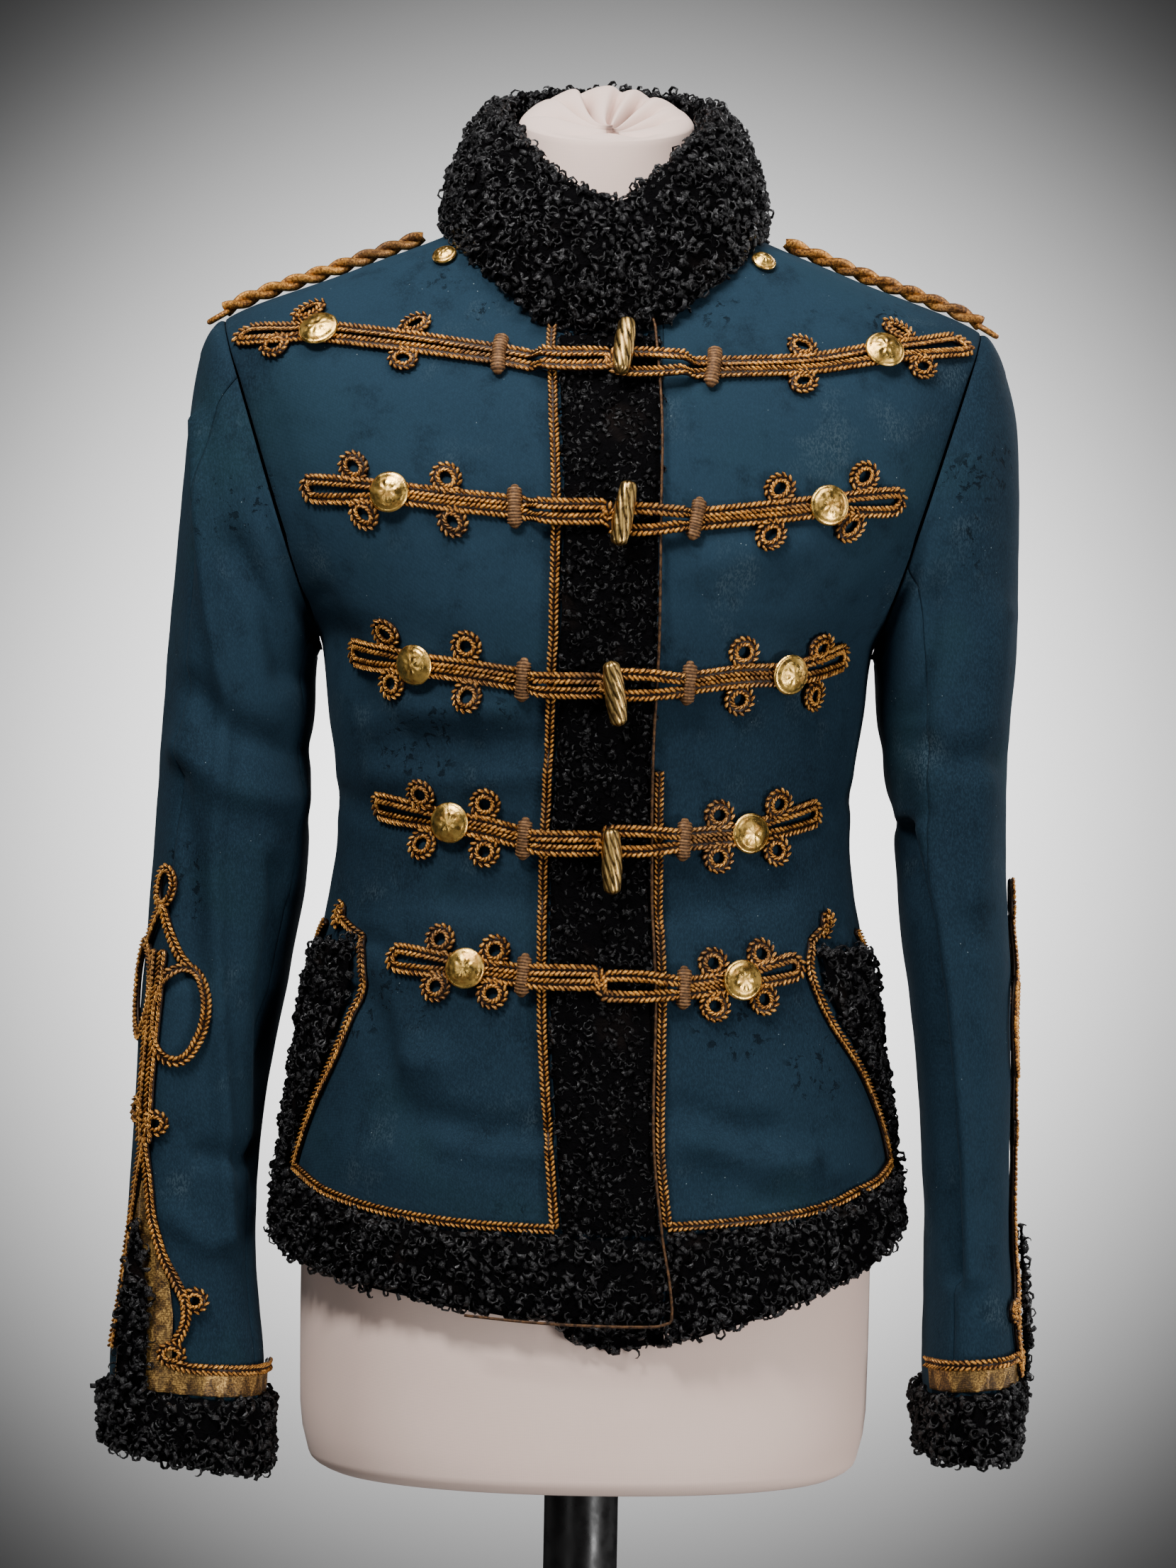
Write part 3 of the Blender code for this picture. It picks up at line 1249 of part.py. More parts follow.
def edge_cords(cloth):
    """The braid along the front edges, hem and side furs."""
    half = BRAID_WIDTH / 2

    def place(across, z):
        angle = arc_angle(across, z)
        point, normal = body(angle, z), body_normal(angle, z)
        return cloth.seat(point, normal, CORD_SEAT), cloth.seat(point, normal, CORD_SEAT + BRAID_HEIGHT)

    def spot(angle, z):
        return arc_to(angle, z), z

    def hem_cord(side, start, end, count):
        return [
            spot(side * math.radians(angle), float(hem_line[side](angle)[1]))
            for angle in steps_between(start, end, count)
        ]

    for side, word in ((RIGHT, "right"), (LEFT, "left")):
        path = [(side * across, z) for z, across in side_cord_path(side)[:-1]]
        inner_x = -placket_line(0.854)[0] if side == RIGHT else placket_line(0.854)[1] + half + 2 * SEAM
        inner_angle = math.degrees(angle_at(inner_x, 0.854))
        path += hem_cord(side, SIDE_CORNER[side], inner_angle, 8)
        top = 1.349 if side == RIGHT else 1.108
        for z in steps_between(path[-1][1] + 0.022, top, 18 if side == RIGHT else 9):
            cord, free_edge = placket_line(z)
            x = cord if side == RIGHT else free_edge + half + 2 * SEAM
            path.append(spot(angle_at(x, z), z))
        knot_x, knot_z = SIDE_KNOT[side]
        knot_across, _ = spot(side * angle_at(knot_x, knot_z), knot_z)
        knot = oval(knot_across, knot_z, SIDE_KNOT_RADIUS, SIDE_KNOT_RADIUS, 8)
        pattern = flat_pattern([(path, half, False), (knot, half * 0.9, True)])
        pattern_solid(f"edge_cord_{word}", pattern, place, gold_braid())

    left = [spot(math.radians(angle), z) for angle, z in BACK_CORD_SPAN]
    right = [spot(math.tau - math.radians(angle), z) for angle, z in BACK_CORD_SPAN]
    for angle in steps_between(124, 236, 10):
        side, turn = (LEFT, angle) if angle <= 180 else (RIGHT, 360 - angle)
        left.append(spot(math.radians(angle), float(hem_line[side](turn)[1])))
    pattern = flat_pattern([(left + right[::-1], half, False)])
    pattern_solid("edge_cord_back", pattern, place, gold_braid())


def tube(name, places, radius, finish):
    """A round cord along a path."""
    curve = bpy.data.curves.new(name, "CURVE")
    curve.dimensions = "3D"
    curve.bevel_depth = radius
    curve.bevel_resolution = 2
    curve.use_fill_caps = True
    spline = curve.splines.new("POLY")
    spline.points.add(len(places) - 1)
    for point, place in zip(spline.points, places):
        point.co = (*place, 1.0)
    curve.materials.append(finish)
    item = bpy.data.objects.new(name, curve)
    collection.objects.link(item)
    return item


def shoulder_cords(cloth):
    """The twisted cord along each shoulder and the small button at its inner end."""
    for side, word in ((RIGHT, "right"), (LEFT, "left")):
        angle = side * math.radians(84)
        heights = steps_between(1.4105, 1.3675, 6)
        places = [body(angle, z, SHOULDER_CORD_RADIUS + 0.0003) for z in heights]
        tube(f"shoulder_cord_{word}", places, SHOULDER_CORD_RADIUS, gold_braid())
        angle = side * angle_at(0.0905, 1.3985)
        normal = body_normal(angle, 1.3985)
        seat = cloth.seat(body(angle, 1.3985), normal, 2 * SEAT)
        button(f"shoulder_button_{word}", seat, normal, 0.0072, 0.0045)


# Dress form and stand
def dress_form():
    """The padded torso with its neck, whole and clear of the coat."""
    inset = CLOTH + FORM_CLEARANCE
    rings = []
    angles = [math.tau * number / FORM_SIDES for number in range(FORM_SIDES)]
    for z, half_width, front, back in FORM_LOW:
        rings.append([Vector((*rounded(angle, half_width, front, back), z)) for angle in angles])
    for z in FORM_BODY_HEIGHTS:
        slack = 0.004 * smooth_step((1.26 - z) / 0.12) + 0.003 * smooth_step((z - 1.385) / 0.02)
        ring = []
        for angle in angles:
            point = bare_body(angle, z) - body_normal(angle, z) * (inset + slack)
            limit = armhole_x(max(point.z, ARMPIT[1])) - 0.003
            point.x = max(-limit, min(limit, point.x))
            ring.append(point)
        rings.append(ring)
    for z, half_width, front, back in FORM_HIGH:
        rings.append([Vector((*rounded(angle, half_width, front, back), z)) for angle in angles])
    stack("form_torso", rings, form_cover())


def stand():
    """The pole up into the form, and a plain round foot."""
    top = FORM_LOW[0][0] - SEAM
    foot = [
        (0.0, 0.030), (POLE_RADIUS + 0.012, 0.030), (POLE_RADIUS + 0.020, 0.016), (BASE_RADIUS - 0.005, 0.0095),
        (BASE_RADIUS, 0.006), (BASE_RADIUS, 0.0), (0.0, 0.0),
    ]
    turned("stand_base", foot, 28, Matrix.Identity(4), black_metal())
    bottom = foot[0][1] + SEAM
    bpy.ops.mesh.primitive_cylinder_add(
        vertices=20, radius=POLE_RADIUS, depth=top - bottom, location=(0, 0, (top + bottom) / 2)
    )
    pole = bpy.context.object
    pole.name = pole.data.name = "stand_pole"
    pole.data.materials.append(black_metal())
    for owner in list(pole.users_collection):
        owner.objects.unlink(pole)
    collection.objects.link(pole)
    pole.data.shade_smooth()
    pole.data.set_sharp_from_angle(angle=math.radians(50))


def build():
    clear_scene()
    dress_form()
    stand()
    panels = [front_panel(side) for side in (RIGHT, LEFT)] + [side_body(side) for side in (RIGHT, LEFT)]
    panels.append(back_panel())
    body_cloth = Cloth(panels)
    furs(body_cloth)
    collar()
    frogs(body_cloth)
    toggles(body_cloth)
    edge_cords(body_cloth)
    shoulder_cords(body_cloth)
    for side in (RIGHT, LEFT):
        shells = [sleeve_shell(side, part) for part in ("upper", "under")]
        sleeve_cloth = Cloth(shells)
        cuff_fur(side, sleeve_cloth)
        cuff_trims(side, sleeve_cloth)


build()
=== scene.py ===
"""Looks of a hussar pelisse on a dress form, in metres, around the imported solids.

The cloth is rebuilt finely on the same rounded sections that the solids stand on. Braid,
buttons and toggles are set on it by named places. Fur grows from the surface of its solids.
"""
import math

import bmesh
import bpy
import numpy as np
from mathutils import Matrix, Vector


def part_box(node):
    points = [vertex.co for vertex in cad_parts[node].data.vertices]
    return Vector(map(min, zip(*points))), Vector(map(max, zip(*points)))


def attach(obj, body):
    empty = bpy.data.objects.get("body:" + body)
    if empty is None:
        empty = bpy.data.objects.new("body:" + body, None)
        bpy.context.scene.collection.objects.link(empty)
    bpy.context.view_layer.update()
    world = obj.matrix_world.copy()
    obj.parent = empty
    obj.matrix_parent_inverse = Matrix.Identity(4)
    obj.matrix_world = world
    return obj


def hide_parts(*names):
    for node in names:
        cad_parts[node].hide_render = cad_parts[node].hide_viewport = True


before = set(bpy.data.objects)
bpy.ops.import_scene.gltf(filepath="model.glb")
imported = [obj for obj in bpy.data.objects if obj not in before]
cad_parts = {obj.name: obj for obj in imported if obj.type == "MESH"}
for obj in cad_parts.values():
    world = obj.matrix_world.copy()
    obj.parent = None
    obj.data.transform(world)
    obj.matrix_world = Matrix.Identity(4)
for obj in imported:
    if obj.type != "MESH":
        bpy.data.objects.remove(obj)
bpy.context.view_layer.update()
chance = np.random.default_rng(1815)

# Sizes, as in the solids
CLOTH = 0.0020           # wall of woollen cloth
SEAM = 0.0003            # gap between pieces sewn edge to edge
SEAT = 0.0006
BRAID_WIDTH = 0.0066     # one run of chain braid
STITCH_WIDTH = 0.0071    # across the stitches of one run
EDGE_CORD_WIDTH = 0.0057 # what shows of the cord along the edges
EDGE_FUR = 0.0050        # worn fur of the front edging
FORM_CLEARANCE = 0.0022  # between the coat's inside and the dress form
BUTTON_RADIUS = 0.0115
BUTTON_HEIGHT = 0.0050
TOGGLE_LENGTH = 0.0370
TOGGLE_RADIUS = 0.0058
SHOULDER_CORD_RADIUS = 0.0047
POLE_RADIUS = 0.0215
BASE_RADIUS = 0.190
SECTION_ROUNDNESS = 2.2
SLEEVE_ROUNDNESS = 2.25
RIGHT, LEFT = -1, 1      # the wearer's sides, as the sign of x
WORDS = {RIGHT: "right", LEFT: "left"}
WEAVE_STEP = 0.0056      # spacing of the cloth's points
CREASE_DEPTH = 3.8       # how strongly the drawn creases stand out

# The body's sections: height, half width, depth in front and behind
BODY = (
    (0.780, 0.1790, 0.1270, 0.1240), (0.805, 0.1790, 0.1270, 0.1240), (0.850, 0.1785, 0.1250, 0.1210),
    (0.880, 0.1757, 0.1220, 0.1170), (0.915, 0.1700, 0.1180, 0.1120), (0.960, 0.1640, 0.1130, 0.1030),
    (1.015, 0.1565, 0.1085, 0.0920), (1.040, 0.1520, 0.1070, 0.0880), (1.070, 0.1490, 0.1075, 0.0860),
    (1.110, 0.1510, 0.1120, 0.0880), (1.145, 0.1560, 0.1190, 0.0930), (1.178, 0.1600, 0.1250, 0.0980),
    (1.200, 0.1760, 0.1270, 0.1010), (1.250, 0.2150, 0.1250, 0.1050), (1.300, 0.2330, 0.1140, 0.1050),
    (1.340, 0.2480, 0.0950, 0.0970), (1.366, 0.2195, 0.0800, 0.0860), (1.395, 0.1470, 0.0680, 0.0740),
    (1.4185, 0.0880, 0.0580, 0.0620), (1.436, 0.0560, 0.0520, 0.0560),
)
# Large soft folds: angle, height, half length, half width, tilt, how far the cloth stands out
FOLDS = (
    (-33, 1.117, 0.055, 0.015, 4, -0.0026), (-30, 1.137, 0.050, 0.014, 2, 0.0016),
    (-24, 1.040, 0.050, 0.014, -6, -0.0022), (26, 1.135, 0.045, 0.014, -5, -0.0020),
    (24, 1.042, 0.050, 0.014, 8, -0.0022), (-36, 0.950, 0.034, 0.015, -48, 0.0026),
    (-46, 0.962, 0.034, 0.014, -52, -0.0024), (-32, 0.882, 0.050, 0.014, -10, 0.0024),
    (-24, 0.903, 0.045, 0.014, -12, -0.0020), (30, 0.915, 0.050, 0.016, 24, 0.0026),
    (27, 0.888, 0.045, 0.014, 14, -0.0022), (140, 1.090, 0.060, 0.016, 6, -0.0024),
    (-142, 1.084, 0.060, 0.016, -5, -0.0024), (150, 0.950, 0.018, 0.070, 4, 0.0030),
    (-152, 0.950, 0.018, 0.070, -4, 0.0030),
)
# Smaller folds of the body, drawn from the front (y < 0) or behind: points (x, z), half
# width, height
FRONT_STROKES = (
    (((-0.1033, 1.1402), (-0.0517, 1.1411)), 0.0075, 0.0011),
    (((-0.1029, 1.1204), (-0.0671, 1.1179), (-0.0315, 1.1217)), 0.0070, -0.0014),
    (((-0.1224, 1.1041), (-0.0748, 1.1019), (-0.0312, 1.1058)), 0.0085, 0.0012),
    (((-0.0814, 1.0335), (-0.0339, 1.0376)), 0.0065, -0.0013),
    (((-0.1306, 1.0120), (-0.1134, 1.0052)), 0.0026, -0.0016),
    (((0.1251, 1.0136), (0.1408, 1.0218)), 0.0030, -0.0012),
    (((0.0538, 1.2224), (0.1091, 1.2353)), 0.0150, 0.0012),
    (((0.0415, 1.0299), (0.0732, 1.0344), (0.1048, 1.0401)), 0.0070, -0.0014),
    (((-0.0996, 0.9420), (-0.0877, 0.9422)), 0.0100, 0.0016),
    (((-0.1300, 0.9811), (-0.1198, 0.9654), (-0.1135, 0.9417)), 0.0065, -0.0018),
    (((-0.0991, 0.9142), (-0.0593, 0.9062), (-0.0236, 0.9077)), 0.0070, -0.0018),
    (((-0.0830, 0.9007), (-0.0511, 0.8933), (-0.0273, 0.8957)), 0.0070, 0.0012),
    (((0.0515, 0.9210), (0.0755, 0.9115), (0.0993, 0.9100)), 0.0070, -0.0016),
    (((0.0598, 0.9013), (0.0917, 0.8900), (0.1234, 0.8906)), 0.0080, 0.0015),
    (((0.1000, 0.8703), (0.1279, 0.8661), (0.1515, 0.8713)), 0.0070, -0.0014),
    (((-0.1450, 1.0900), (-0.1150, 1.0760), (-0.0900, 1.0740)), 0.0070, -0.0012),
    (((0.1440, 1.0950), (0.1180, 1.0800), (0.0900, 1.0770)), 0.0070, -0.0012),
    (((-0.1580, 1.2000), (-0.1420, 1.1750), (-0.1300, 1.1450)), 0.0080, -0.0014),
    (((0.1560, 1.2050), (0.1420, 1.1800), (0.1320, 1.1500)), 0.0080, -0.0014),
    (((-0.2000, 1.3250), (-0.1870, 1.2850), (-0.1760, 1.2450)), 0.0090, -0.0012),
    (((0.2020, 1.3300), (0.1880, 1.2900), (0.1780, 1.2500)), 0.0090, -0.0012),
)
BACK_STROKES = (
    (((-0.1250, 1.0800), (-0.0600, 1.0720), (-0.0150, 1.0760)), 0.0080, -0.0016),
    (((0.1200, 1.0860), (0.0560, 1.0780), (0.0120, 1.0800)), 0.0080, -0.0016),
    (((-0.1150, 1.1050), (-0.0500, 1.1000)), 0.0085, 0.0013),
    (((0.1120, 1.1100), (0.0480, 1.1040)), 0.0085, 0.0013),
    (((-0.1700, 1.2450), (-0.1300, 1.2250), (-0.0900, 1.2200)), 0.0110, 0.0016),
    (((0.1720, 1.2500), (0.1320, 1.2280), (0.0900, 1.2220)), 0.0110, 0.0016),
    (((-0.0800, 1.0300), (-0.0620, 0.9600), (-0.0660, 0.9000)), 0.0110, 0.0020),
    (((0.0780, 1.0280), (0.0600, 0.9580), (0.0650, 0.9000)), 0.0110, 0.0020),
    (((-0.0300, 1.0100), (-0.0240, 0.9400), (-0.0260, 0.8950)), 0.0090, -0.0016),
    (((0.0300, 1.0120), (0.0230, 0.9420), (0.0270, 0.8950)), 0.0090, -0.0016),
)
ARMPIT = (0.1600, 1.178)
SHOULDER_TIP = (0.2195, 1.366)
NECK_POINT = (0.0880, 1.4185)
# The fur edging down the wearer's right front: height, its cord, its free edge
PLACKET = (
    (0.790, -0.0130, 0.0475), (0.856, -0.0178, 0.0405), (0.905, -0.0222, 0.0355), (0.980, -0.0272, 0.0355),
    (1.040, -0.0278, 0.0325), (1.110, -0.0258, 0.0315), (1.180, -0.0245, 0.0335), (1.250, -0.0240, 0.0335),
    (1.300, -0.0265, 0.0335), (1.352, -0.0285, 0.0330), (1.370, -0.0285, 0.0330),
)
# The hem round one half: angle from centre front, lower edge of the fur, line of the cord
HEM = {
    RIGHT: (
        (-30, 0.7970, 0.853), (0, 0.8000, 0.853), (15, 0.8040, 0.854), (33, 0.8120, 0.858),
        (55, 0.8210, 0.868), (70, 0.8290, 0.879), (90, 0.8375, 0.884), (135, 0.8250, 0.876),
        (180, 0.8150, 0.868),
    ),
    LEFT: (
        (-30, 0.7850, 0.855), (10, 0.7890, 0.855), (26, 0.8000, 0.858), (44, 0.8150, 0.863),
        (63, 0.8290, 0.874), (90, 0.8480, 0.888), (135, 0.8280, 0.877), (180, 0.8150, 0.868),
    ),
}
HEM_TURN = 0.003
# Ends of a front panel's rows above the hem, at its edge and at the side or armhole
FRONT_ROWS = (
    (0.898, 0.912), (0.935, 0.940), (1.005, 1.005), (1.070, 1.070), (1.130, 1.128), (1.160, 1.153),
    (1.190, 1.178), (1.215, 1.200), (1.245, 1.232), (1.277, 1.272), (1.308, 1.306), (1.338, 1.333),
    (1.364, 1.351),
)
FRONT_NECK = (
    (0.048, 1.3785, 1.3575), (0.066, 1.3930, 1.3615), (0.0770, 1.4050, 1.3638),
    (0.0838, 1.4125, 1.3652), (0.0880, 1.4185, 1.3660),
)
# The side-back seam: height at the side seam, angle and height at the side-back seam
SIDE_BACK = (
    (0.925, 137, 0.920), (0.965, 138, 0.965), (1.005, 140, 1.008), (1.040, 141, 1.050),
    (1.075, 141, 1.092), (1.110, 140, 1.135), (1.145, 136, 1.180), (1.165, 131, 1.218),
)
SIDE_BACK_TOP = 1.252
BACK_ROWS = ((1.280, 1.280), (1.320, 1.305), (1.352, 1.328), (1.377, 1.349), (1.391, 1.3585),
    (1.400, 1.3635))
BACK_SHOULDER_ROWS = ((1.409, 1.3660), (1.420, 1.3920), (1.430, 1.4185))
BACK_SEAM_ANGLE = 136

# The cord round each side fur: x and height down its front, angle and height down its back
SIDE_CORD = {
    RIGHT: ((0.1405, 1.0205), (0.1310, 1.011), (0.1285, 0.998), (0.1310, 0.980), (0.1405, 0.949),
            (0.1550, 0.915), (0.1625, 0.893)),
    LEFT: ((0.1300, 1.0200), (0.1235, 1.010), (0.1225, 0.996), (0.1310, 0.975), (0.1410, 0.958),
           (0.1570, 0.932), (0.1680, 0.905)),
}
SIDE_CORNER = {RIGHT: 70, LEFT: 80}
BACK_CORD_SPAN = (
    (75, 1.018), (81, 1.008), (88, 0.996), (95, 0.980), (103, 0.960), (110, 0.936), (115, 0.912),
    (118, 0.892),
)
SIDE_KNOT = {RIGHT: (0.1425, 1.0225), LEFT: (0.1325, 1.0225)}
SIDE_KNOT_RADIUS = 0.0050

# The five rows of braid on each side
FROG_COLUMNS = (
    "edge_z", "keeper_x", "keeper_z", "pair_x", "pair_z", "pair_spread", "button_x", "button_z",
    "leaf_x", "leaf_z", "leaf_spread", "tip_x", "tip_z", "flatten",
)
FROGS = {
    RIGHT: (
        (1.3335, 0.0579, 1.3385, 0.1108, 1.3460, 0.0205, 0.1597, 1.3520, 0.1780, 1.3545, 0.0200,
         0.2060, 1.3510, 0.76),
        (1.2496, 0.0469, 1.2525, 0.0834, 1.2560, 0.0240, 0.1157, 1.2600, 0.1343, 1.2614, 0.0262,
         0.1650, 1.2631, 1.0),
        (1.1560, 0.0403, 1.1575, 0.0711, 1.1620, 0.0272, 0.0993, 1.1655, 0.1145, 1.1688, 0.0280,
         0.1400, 1.1723, 1.0),
        (1.0670, 0.0380, 1.0690, 0.0601, 1.0745, 0.0268, 0.0790, 1.0772, 0.0956, 1.0785, 0.0280,
         0.1240, 1.0858, 1.0),
        (0.9917, 0.0370, 0.9924, 0.0540, 0.9940, 0.0240, 0.0690, 0.9955, 0.0850, 0.9981, 0.0264,
         0.1120, 1.0007, 1.0),
    ),
    LEFT: (
        (1.3320, 0.0620, 1.3335, 0.1134, 1.3370, 0.0205, 0.1579, 1.3455, 0.1770, 1.3490, 0.0210,
         0.2060, 1.3540, 0.76),
        (1.2460, 0.0530, 1.2475, 0.0969, 1.2530, 0.0255, 0.1260, 1.2575, 0.1434, 1.2606, 0.0280,
         0.1690, 1.2622, 1.0),
        (1.1570, 0.0500, 1.1575, 0.0798, 1.1620, 0.0265, 0.1056, 1.1640, 0.1227, 1.1657, 0.0268,
         0.1420, 1.1750, 1.0),
        (1.0690, 0.0490, 1.0700, 0.0690, 1.0720, 0.0240, 0.0870, 1.0740, 0.1020, 1.0777, 0.0264,
         0.1280, 1.0865, 1.0),
        (0.9873, 0.0510, 0.9870, 0.0680, 0.9890, 0.0240, 0.0830, 0.9915, 0.0950, 0.9935, 0.0255,
         0.1165, 1.0000, 1.0),
    ),
}
RING_RADIUS = 0.0066
TIP_HALF_WIDTH = 0.0047
RUN_OFFSET = 0.0034
FROG_MEET = 0.0050
LOOP_SPREAD = 0.0056
LOOP_START = 0.0280
FROG_CLIMB = {RIGHT: (0.0405, 0.0330), LEFT: (0.0525, 0.0445)}
KEEPER_REACH = 0.0112
TOGGLES = ((0.0117, 1.3369, 6), (0.0129, 1.2482, 9), (0.0098, 1.1533, -9), (0.0099, 1.0576, -2))

# Sleeves: for each ring, outer and inner edge seen from the front, middle and half depth
SLEEVE = {
    RIGHT: (
        (0.2195, 1.366, 0.1600, 1.178, 0.000, 0.069), (0.2330, 1.345, 0.1625, 1.170, -0.003, 0.069),
        (0.2395, 1.297, 0.1635, 1.158, -0.001, 0.070), (0.2450, 1.233, 0.1642, 1.140, 0.002, 0.070),
        (0.2500, 1.164, 0.1652, 1.112, 0.004, 0.068), (0.2530, 1.110, 0.1655, 1.080, 0.004, 0.066),
        (0.2555, 1.060, 0.1675, 1.040, 0.002, 0.064), (0.2585, 1.010, 0.1735, 1.000, -0.001, 0.061),
        (0.2610, 0.965, 0.1800, 0.960, -0.005, 0.058), (0.2625, 0.920, 0.1870, 0.920, -0.009, 0.055),
        (0.2640, 0.875, 0.1905, 0.878, -0.013, 0.052), (0.2665, 0.830, 0.1915, 0.835, -0.017, 0.049),
        (0.2700, 0.795, 0.1885, 0.795, -0.020, 0.047), (0.2735, 0.765, 0.1845, 0.760, -0.022, 0.046),
        (0.2705, 0.722, 0.1860, 0.705, -0.024, 0.045),
    ),
    LEFT: (
        (0.2195, 1.366, 0.1600, 1.178, 0.000, 0.069), (0.2340, 1.342, 0.1618, 1.171, -0.003, 0.070),
        (0.2420, 1.303, 0.1628, 1.160, -0.001, 0.071), (0.2440, 1.245, 0.1640, 1.143, 0.002, 0.072),
        (0.2435, 1.190, 0.1665, 1.122, 0.004, 0.073), (0.2400, 1.130, 0.1715, 1.095, 0.004, 0.073),
        (0.2390, 1.078, 0.1765, 1.062, 0.003, 0.072), (0.2405, 1.033, 0.1800, 1.022, 0.001, 0.070),
        (0.2435, 0.985, 0.1860, 0.980, -0.001, 0.068), (0.2440, 0.935, 0.1915, 0.935, -0.003, 0.065),
        (0.2440, 0.890, 0.1945, 0.890, -0.006, 0.062), (0.2445, 0.845, 0.1965, 0.845, -0.009, 0.059),
        (0.2480, 0.805, 0.1965, 0.805, -0.012, 0.057), (0.2495, 0.775, 0.1960, 0.770, -0.014, 0.056),
        (0.2445, 0.722, 0.2015, 0.722, -0.015, 0.055),
    ),
}
CREASE = {RIGHT: (62, 20, 0.0055), LEFT: (118, 18, 0.0030)}
HIND_SEAM = {RIGHT: 56, LEFT: 6}
FORE_SEAM = {RIGHT: 155, LEFT: 117}
SLEEVE_HEM = 14
# Creases of the sleeves, drawn from the front and from behind
SLEEVE_STROKES = {
    (RIGHT, "front"): (
        (((-0.2289, 1.3039), (-0.2261, 1.2596), (-0.2210, 1.2032), (-0.2142, 1.1630), (-0.2090, 1.1430),
          (-0.2113, 1.1147), (-0.2149, 1.0904), (-0.2155, 1.0582), (-0.2136, 1.0179), (-0.2104, 0.9535),
          (-0.2073, 0.8971), (-0.2050, 0.8366)), 0.0042, 0.0019),
        (((-0.2360, 1.1000), (-0.2290, 1.0500), (-0.2280, 0.9900)), 0.0070, -0.0014),
        (((-0.1790, 1.0500), (-0.1774, 1.0266), (-0.1846, 0.9781), (-0.1851, 0.8975), (-0.1866, 0.8652)),
         0.0050, -0.0022),
        (((-0.2180, 0.8850), (-0.1868, 0.8813)), 0.0070, -0.0012),
        (((-0.2300, 1.1500), (-0.2050, 1.1250), (-0.1780, 1.1180)), 0.0090, -0.0018),
        (((-0.2350, 1.1150), (-0.2100, 1.0950), (-0.1760, 1.0870)), 0.0100, 0.0014),
        (((-0.2050, 1.2300), (-0.1850, 1.1950), (-0.1760, 1.1600)), 0.0090, -0.0020),
        (((-0.2350, 0.8500), (-0.2150, 0.8350)), 0.0080, 0.0012),
    ),
    (RIGHT, "back"): (
        (((-0.2350, 1.1300), (-0.2050, 1.1150), (-0.1750, 1.1180)), 0.0090, -0.0024),
        (((-0.2400, 1.0850), (-0.2100, 1.0740), (-0.1750, 1.0800)), 0.0090, -0.0020),
        (((-0.2350, 1.1080), (-0.2050, 1.0950)), 0.0090, 0.0018),
        (((-0.2250, 1.2600), (-0.2100, 1.2000), (-0.2050, 1.1500)), 0.0090, 0.0014),
        (((-0.2400, 1.0000), (-0.2330, 0.9300), (-0.2350, 0.8600)), 0.0080, -0.0014),
    ),
    (LEFT, "front"): (
        (((0.1784, 1.0776), (0.1895, 1.0254), (0.1962, 0.9852), (0.2012, 0.9369), (0.2062, 0.8846),
          (0.2093, 0.8241)), 0.0040, -0.0030),
        (((0.1880, 1.0776), (0.1985, 1.0254), (0.2052, 0.9852), (0.2102, 0.9369), (0.2152, 0.8846),
          (0.2183, 0.8241)), 0.0050, 0.0012),
        (((0.1960, 1.2880), (0.2106, 1.2985)), 0.0035, -0.0016),
        (((0.2300, 1.2000), (0.2200, 1.1200), (0.2180, 1.0400)), 0.0100, 0.0012),
        (((0.1800, 1.1300), (0.2000, 1.1150), (0.2250, 1.1200)), 0.0090, -0.0014),
        (((0.1900, 1.2100), (0.1850, 1.1700), (0.1800, 1.1450)), 0.0080, -0.0018),
    ),
    (LEFT, "back"): (
        (((0.2300, 1.1350), (0.2000, 1.1200), (0.1780, 1.1240)), 0.0090, -0.0024),
        (((0.2320, 1.0900), (0.2050, 1.0800), (0.1800, 1.0850)), 0.0090, -0.0020),
        (((0.2300, 1.1130), (0.2000, 1.1000)), 0.0090, 0.0018),
        (((0.2200, 1.2600), (0.2080, 1.2000), (0.2000, 1.1500)), 0.0090, 0.0014),
        (((0.2300, 1.0000), (0.2230, 0.9300), (0.2250, 0.8600)), 0.0080, -0.0014),
    ),
}
CUFF_TOP = 13.3
# The sleeve knot in its own flat: distance round the sleeve from the slit, and height
KNOT_EYE = (0.000, 1.0370, 0.0045, 0.0105)
KNOT_RINGS = ((-0.0150, 0.9780, 0.0120, 0.0265), (0.0135, 0.9650, 0.0130, 0.0268))
KNOT_STRANDS = (
    ((0.0, 1.0275), (-0.0055, 1.0160), (-0.0110, 1.0060), (-0.0155, 1.0040)),
    ((0.0, 1.0275), (0.0050, 1.0120), (0.0100, 0.9990), (0.0150, 0.9920)),
)
KNOT_STEM = ((0.0, 1.0010), (0.0, 0.9450), (0.0, 0.8920))
KNOT_LEAVES = ((-0.0065, 0.9100, 0.0048, 0.0052), (0.0065, 0.9030, 0.0048, 0.0052))
KNOT_BACK_LEG = (
    (0.0, 0.8950), (-0.0040, 0.8740), (-0.0090, 0.8500), (-0.0130, 0.8200), (-0.0160, 0.7950),
    (-0.0170, 0.7730),
)
KNOT_FRONT_LEG = (
    (0.0, 0.8950), (0.0040, 0.8740), (0.0080, 0.8500), (0.0140, 0.8300), (0.0220, 0.8150),
    (0.0270, 0.8040), (0.0280, 0.7920), (0.0235, 0.7790),
)
KNOT_CURLS = ((0.0325, 0.8030, 0.0050, 0.0052), (0.0212, 0.7725, 0.0050, 0.0050))
KNOT_BAND_START = 0.0300
KNOT_BAND_LIFT = 0.0160
KNOT_BAND_LENGTH = {RIGHT: 0.105, LEFT: 0.100}

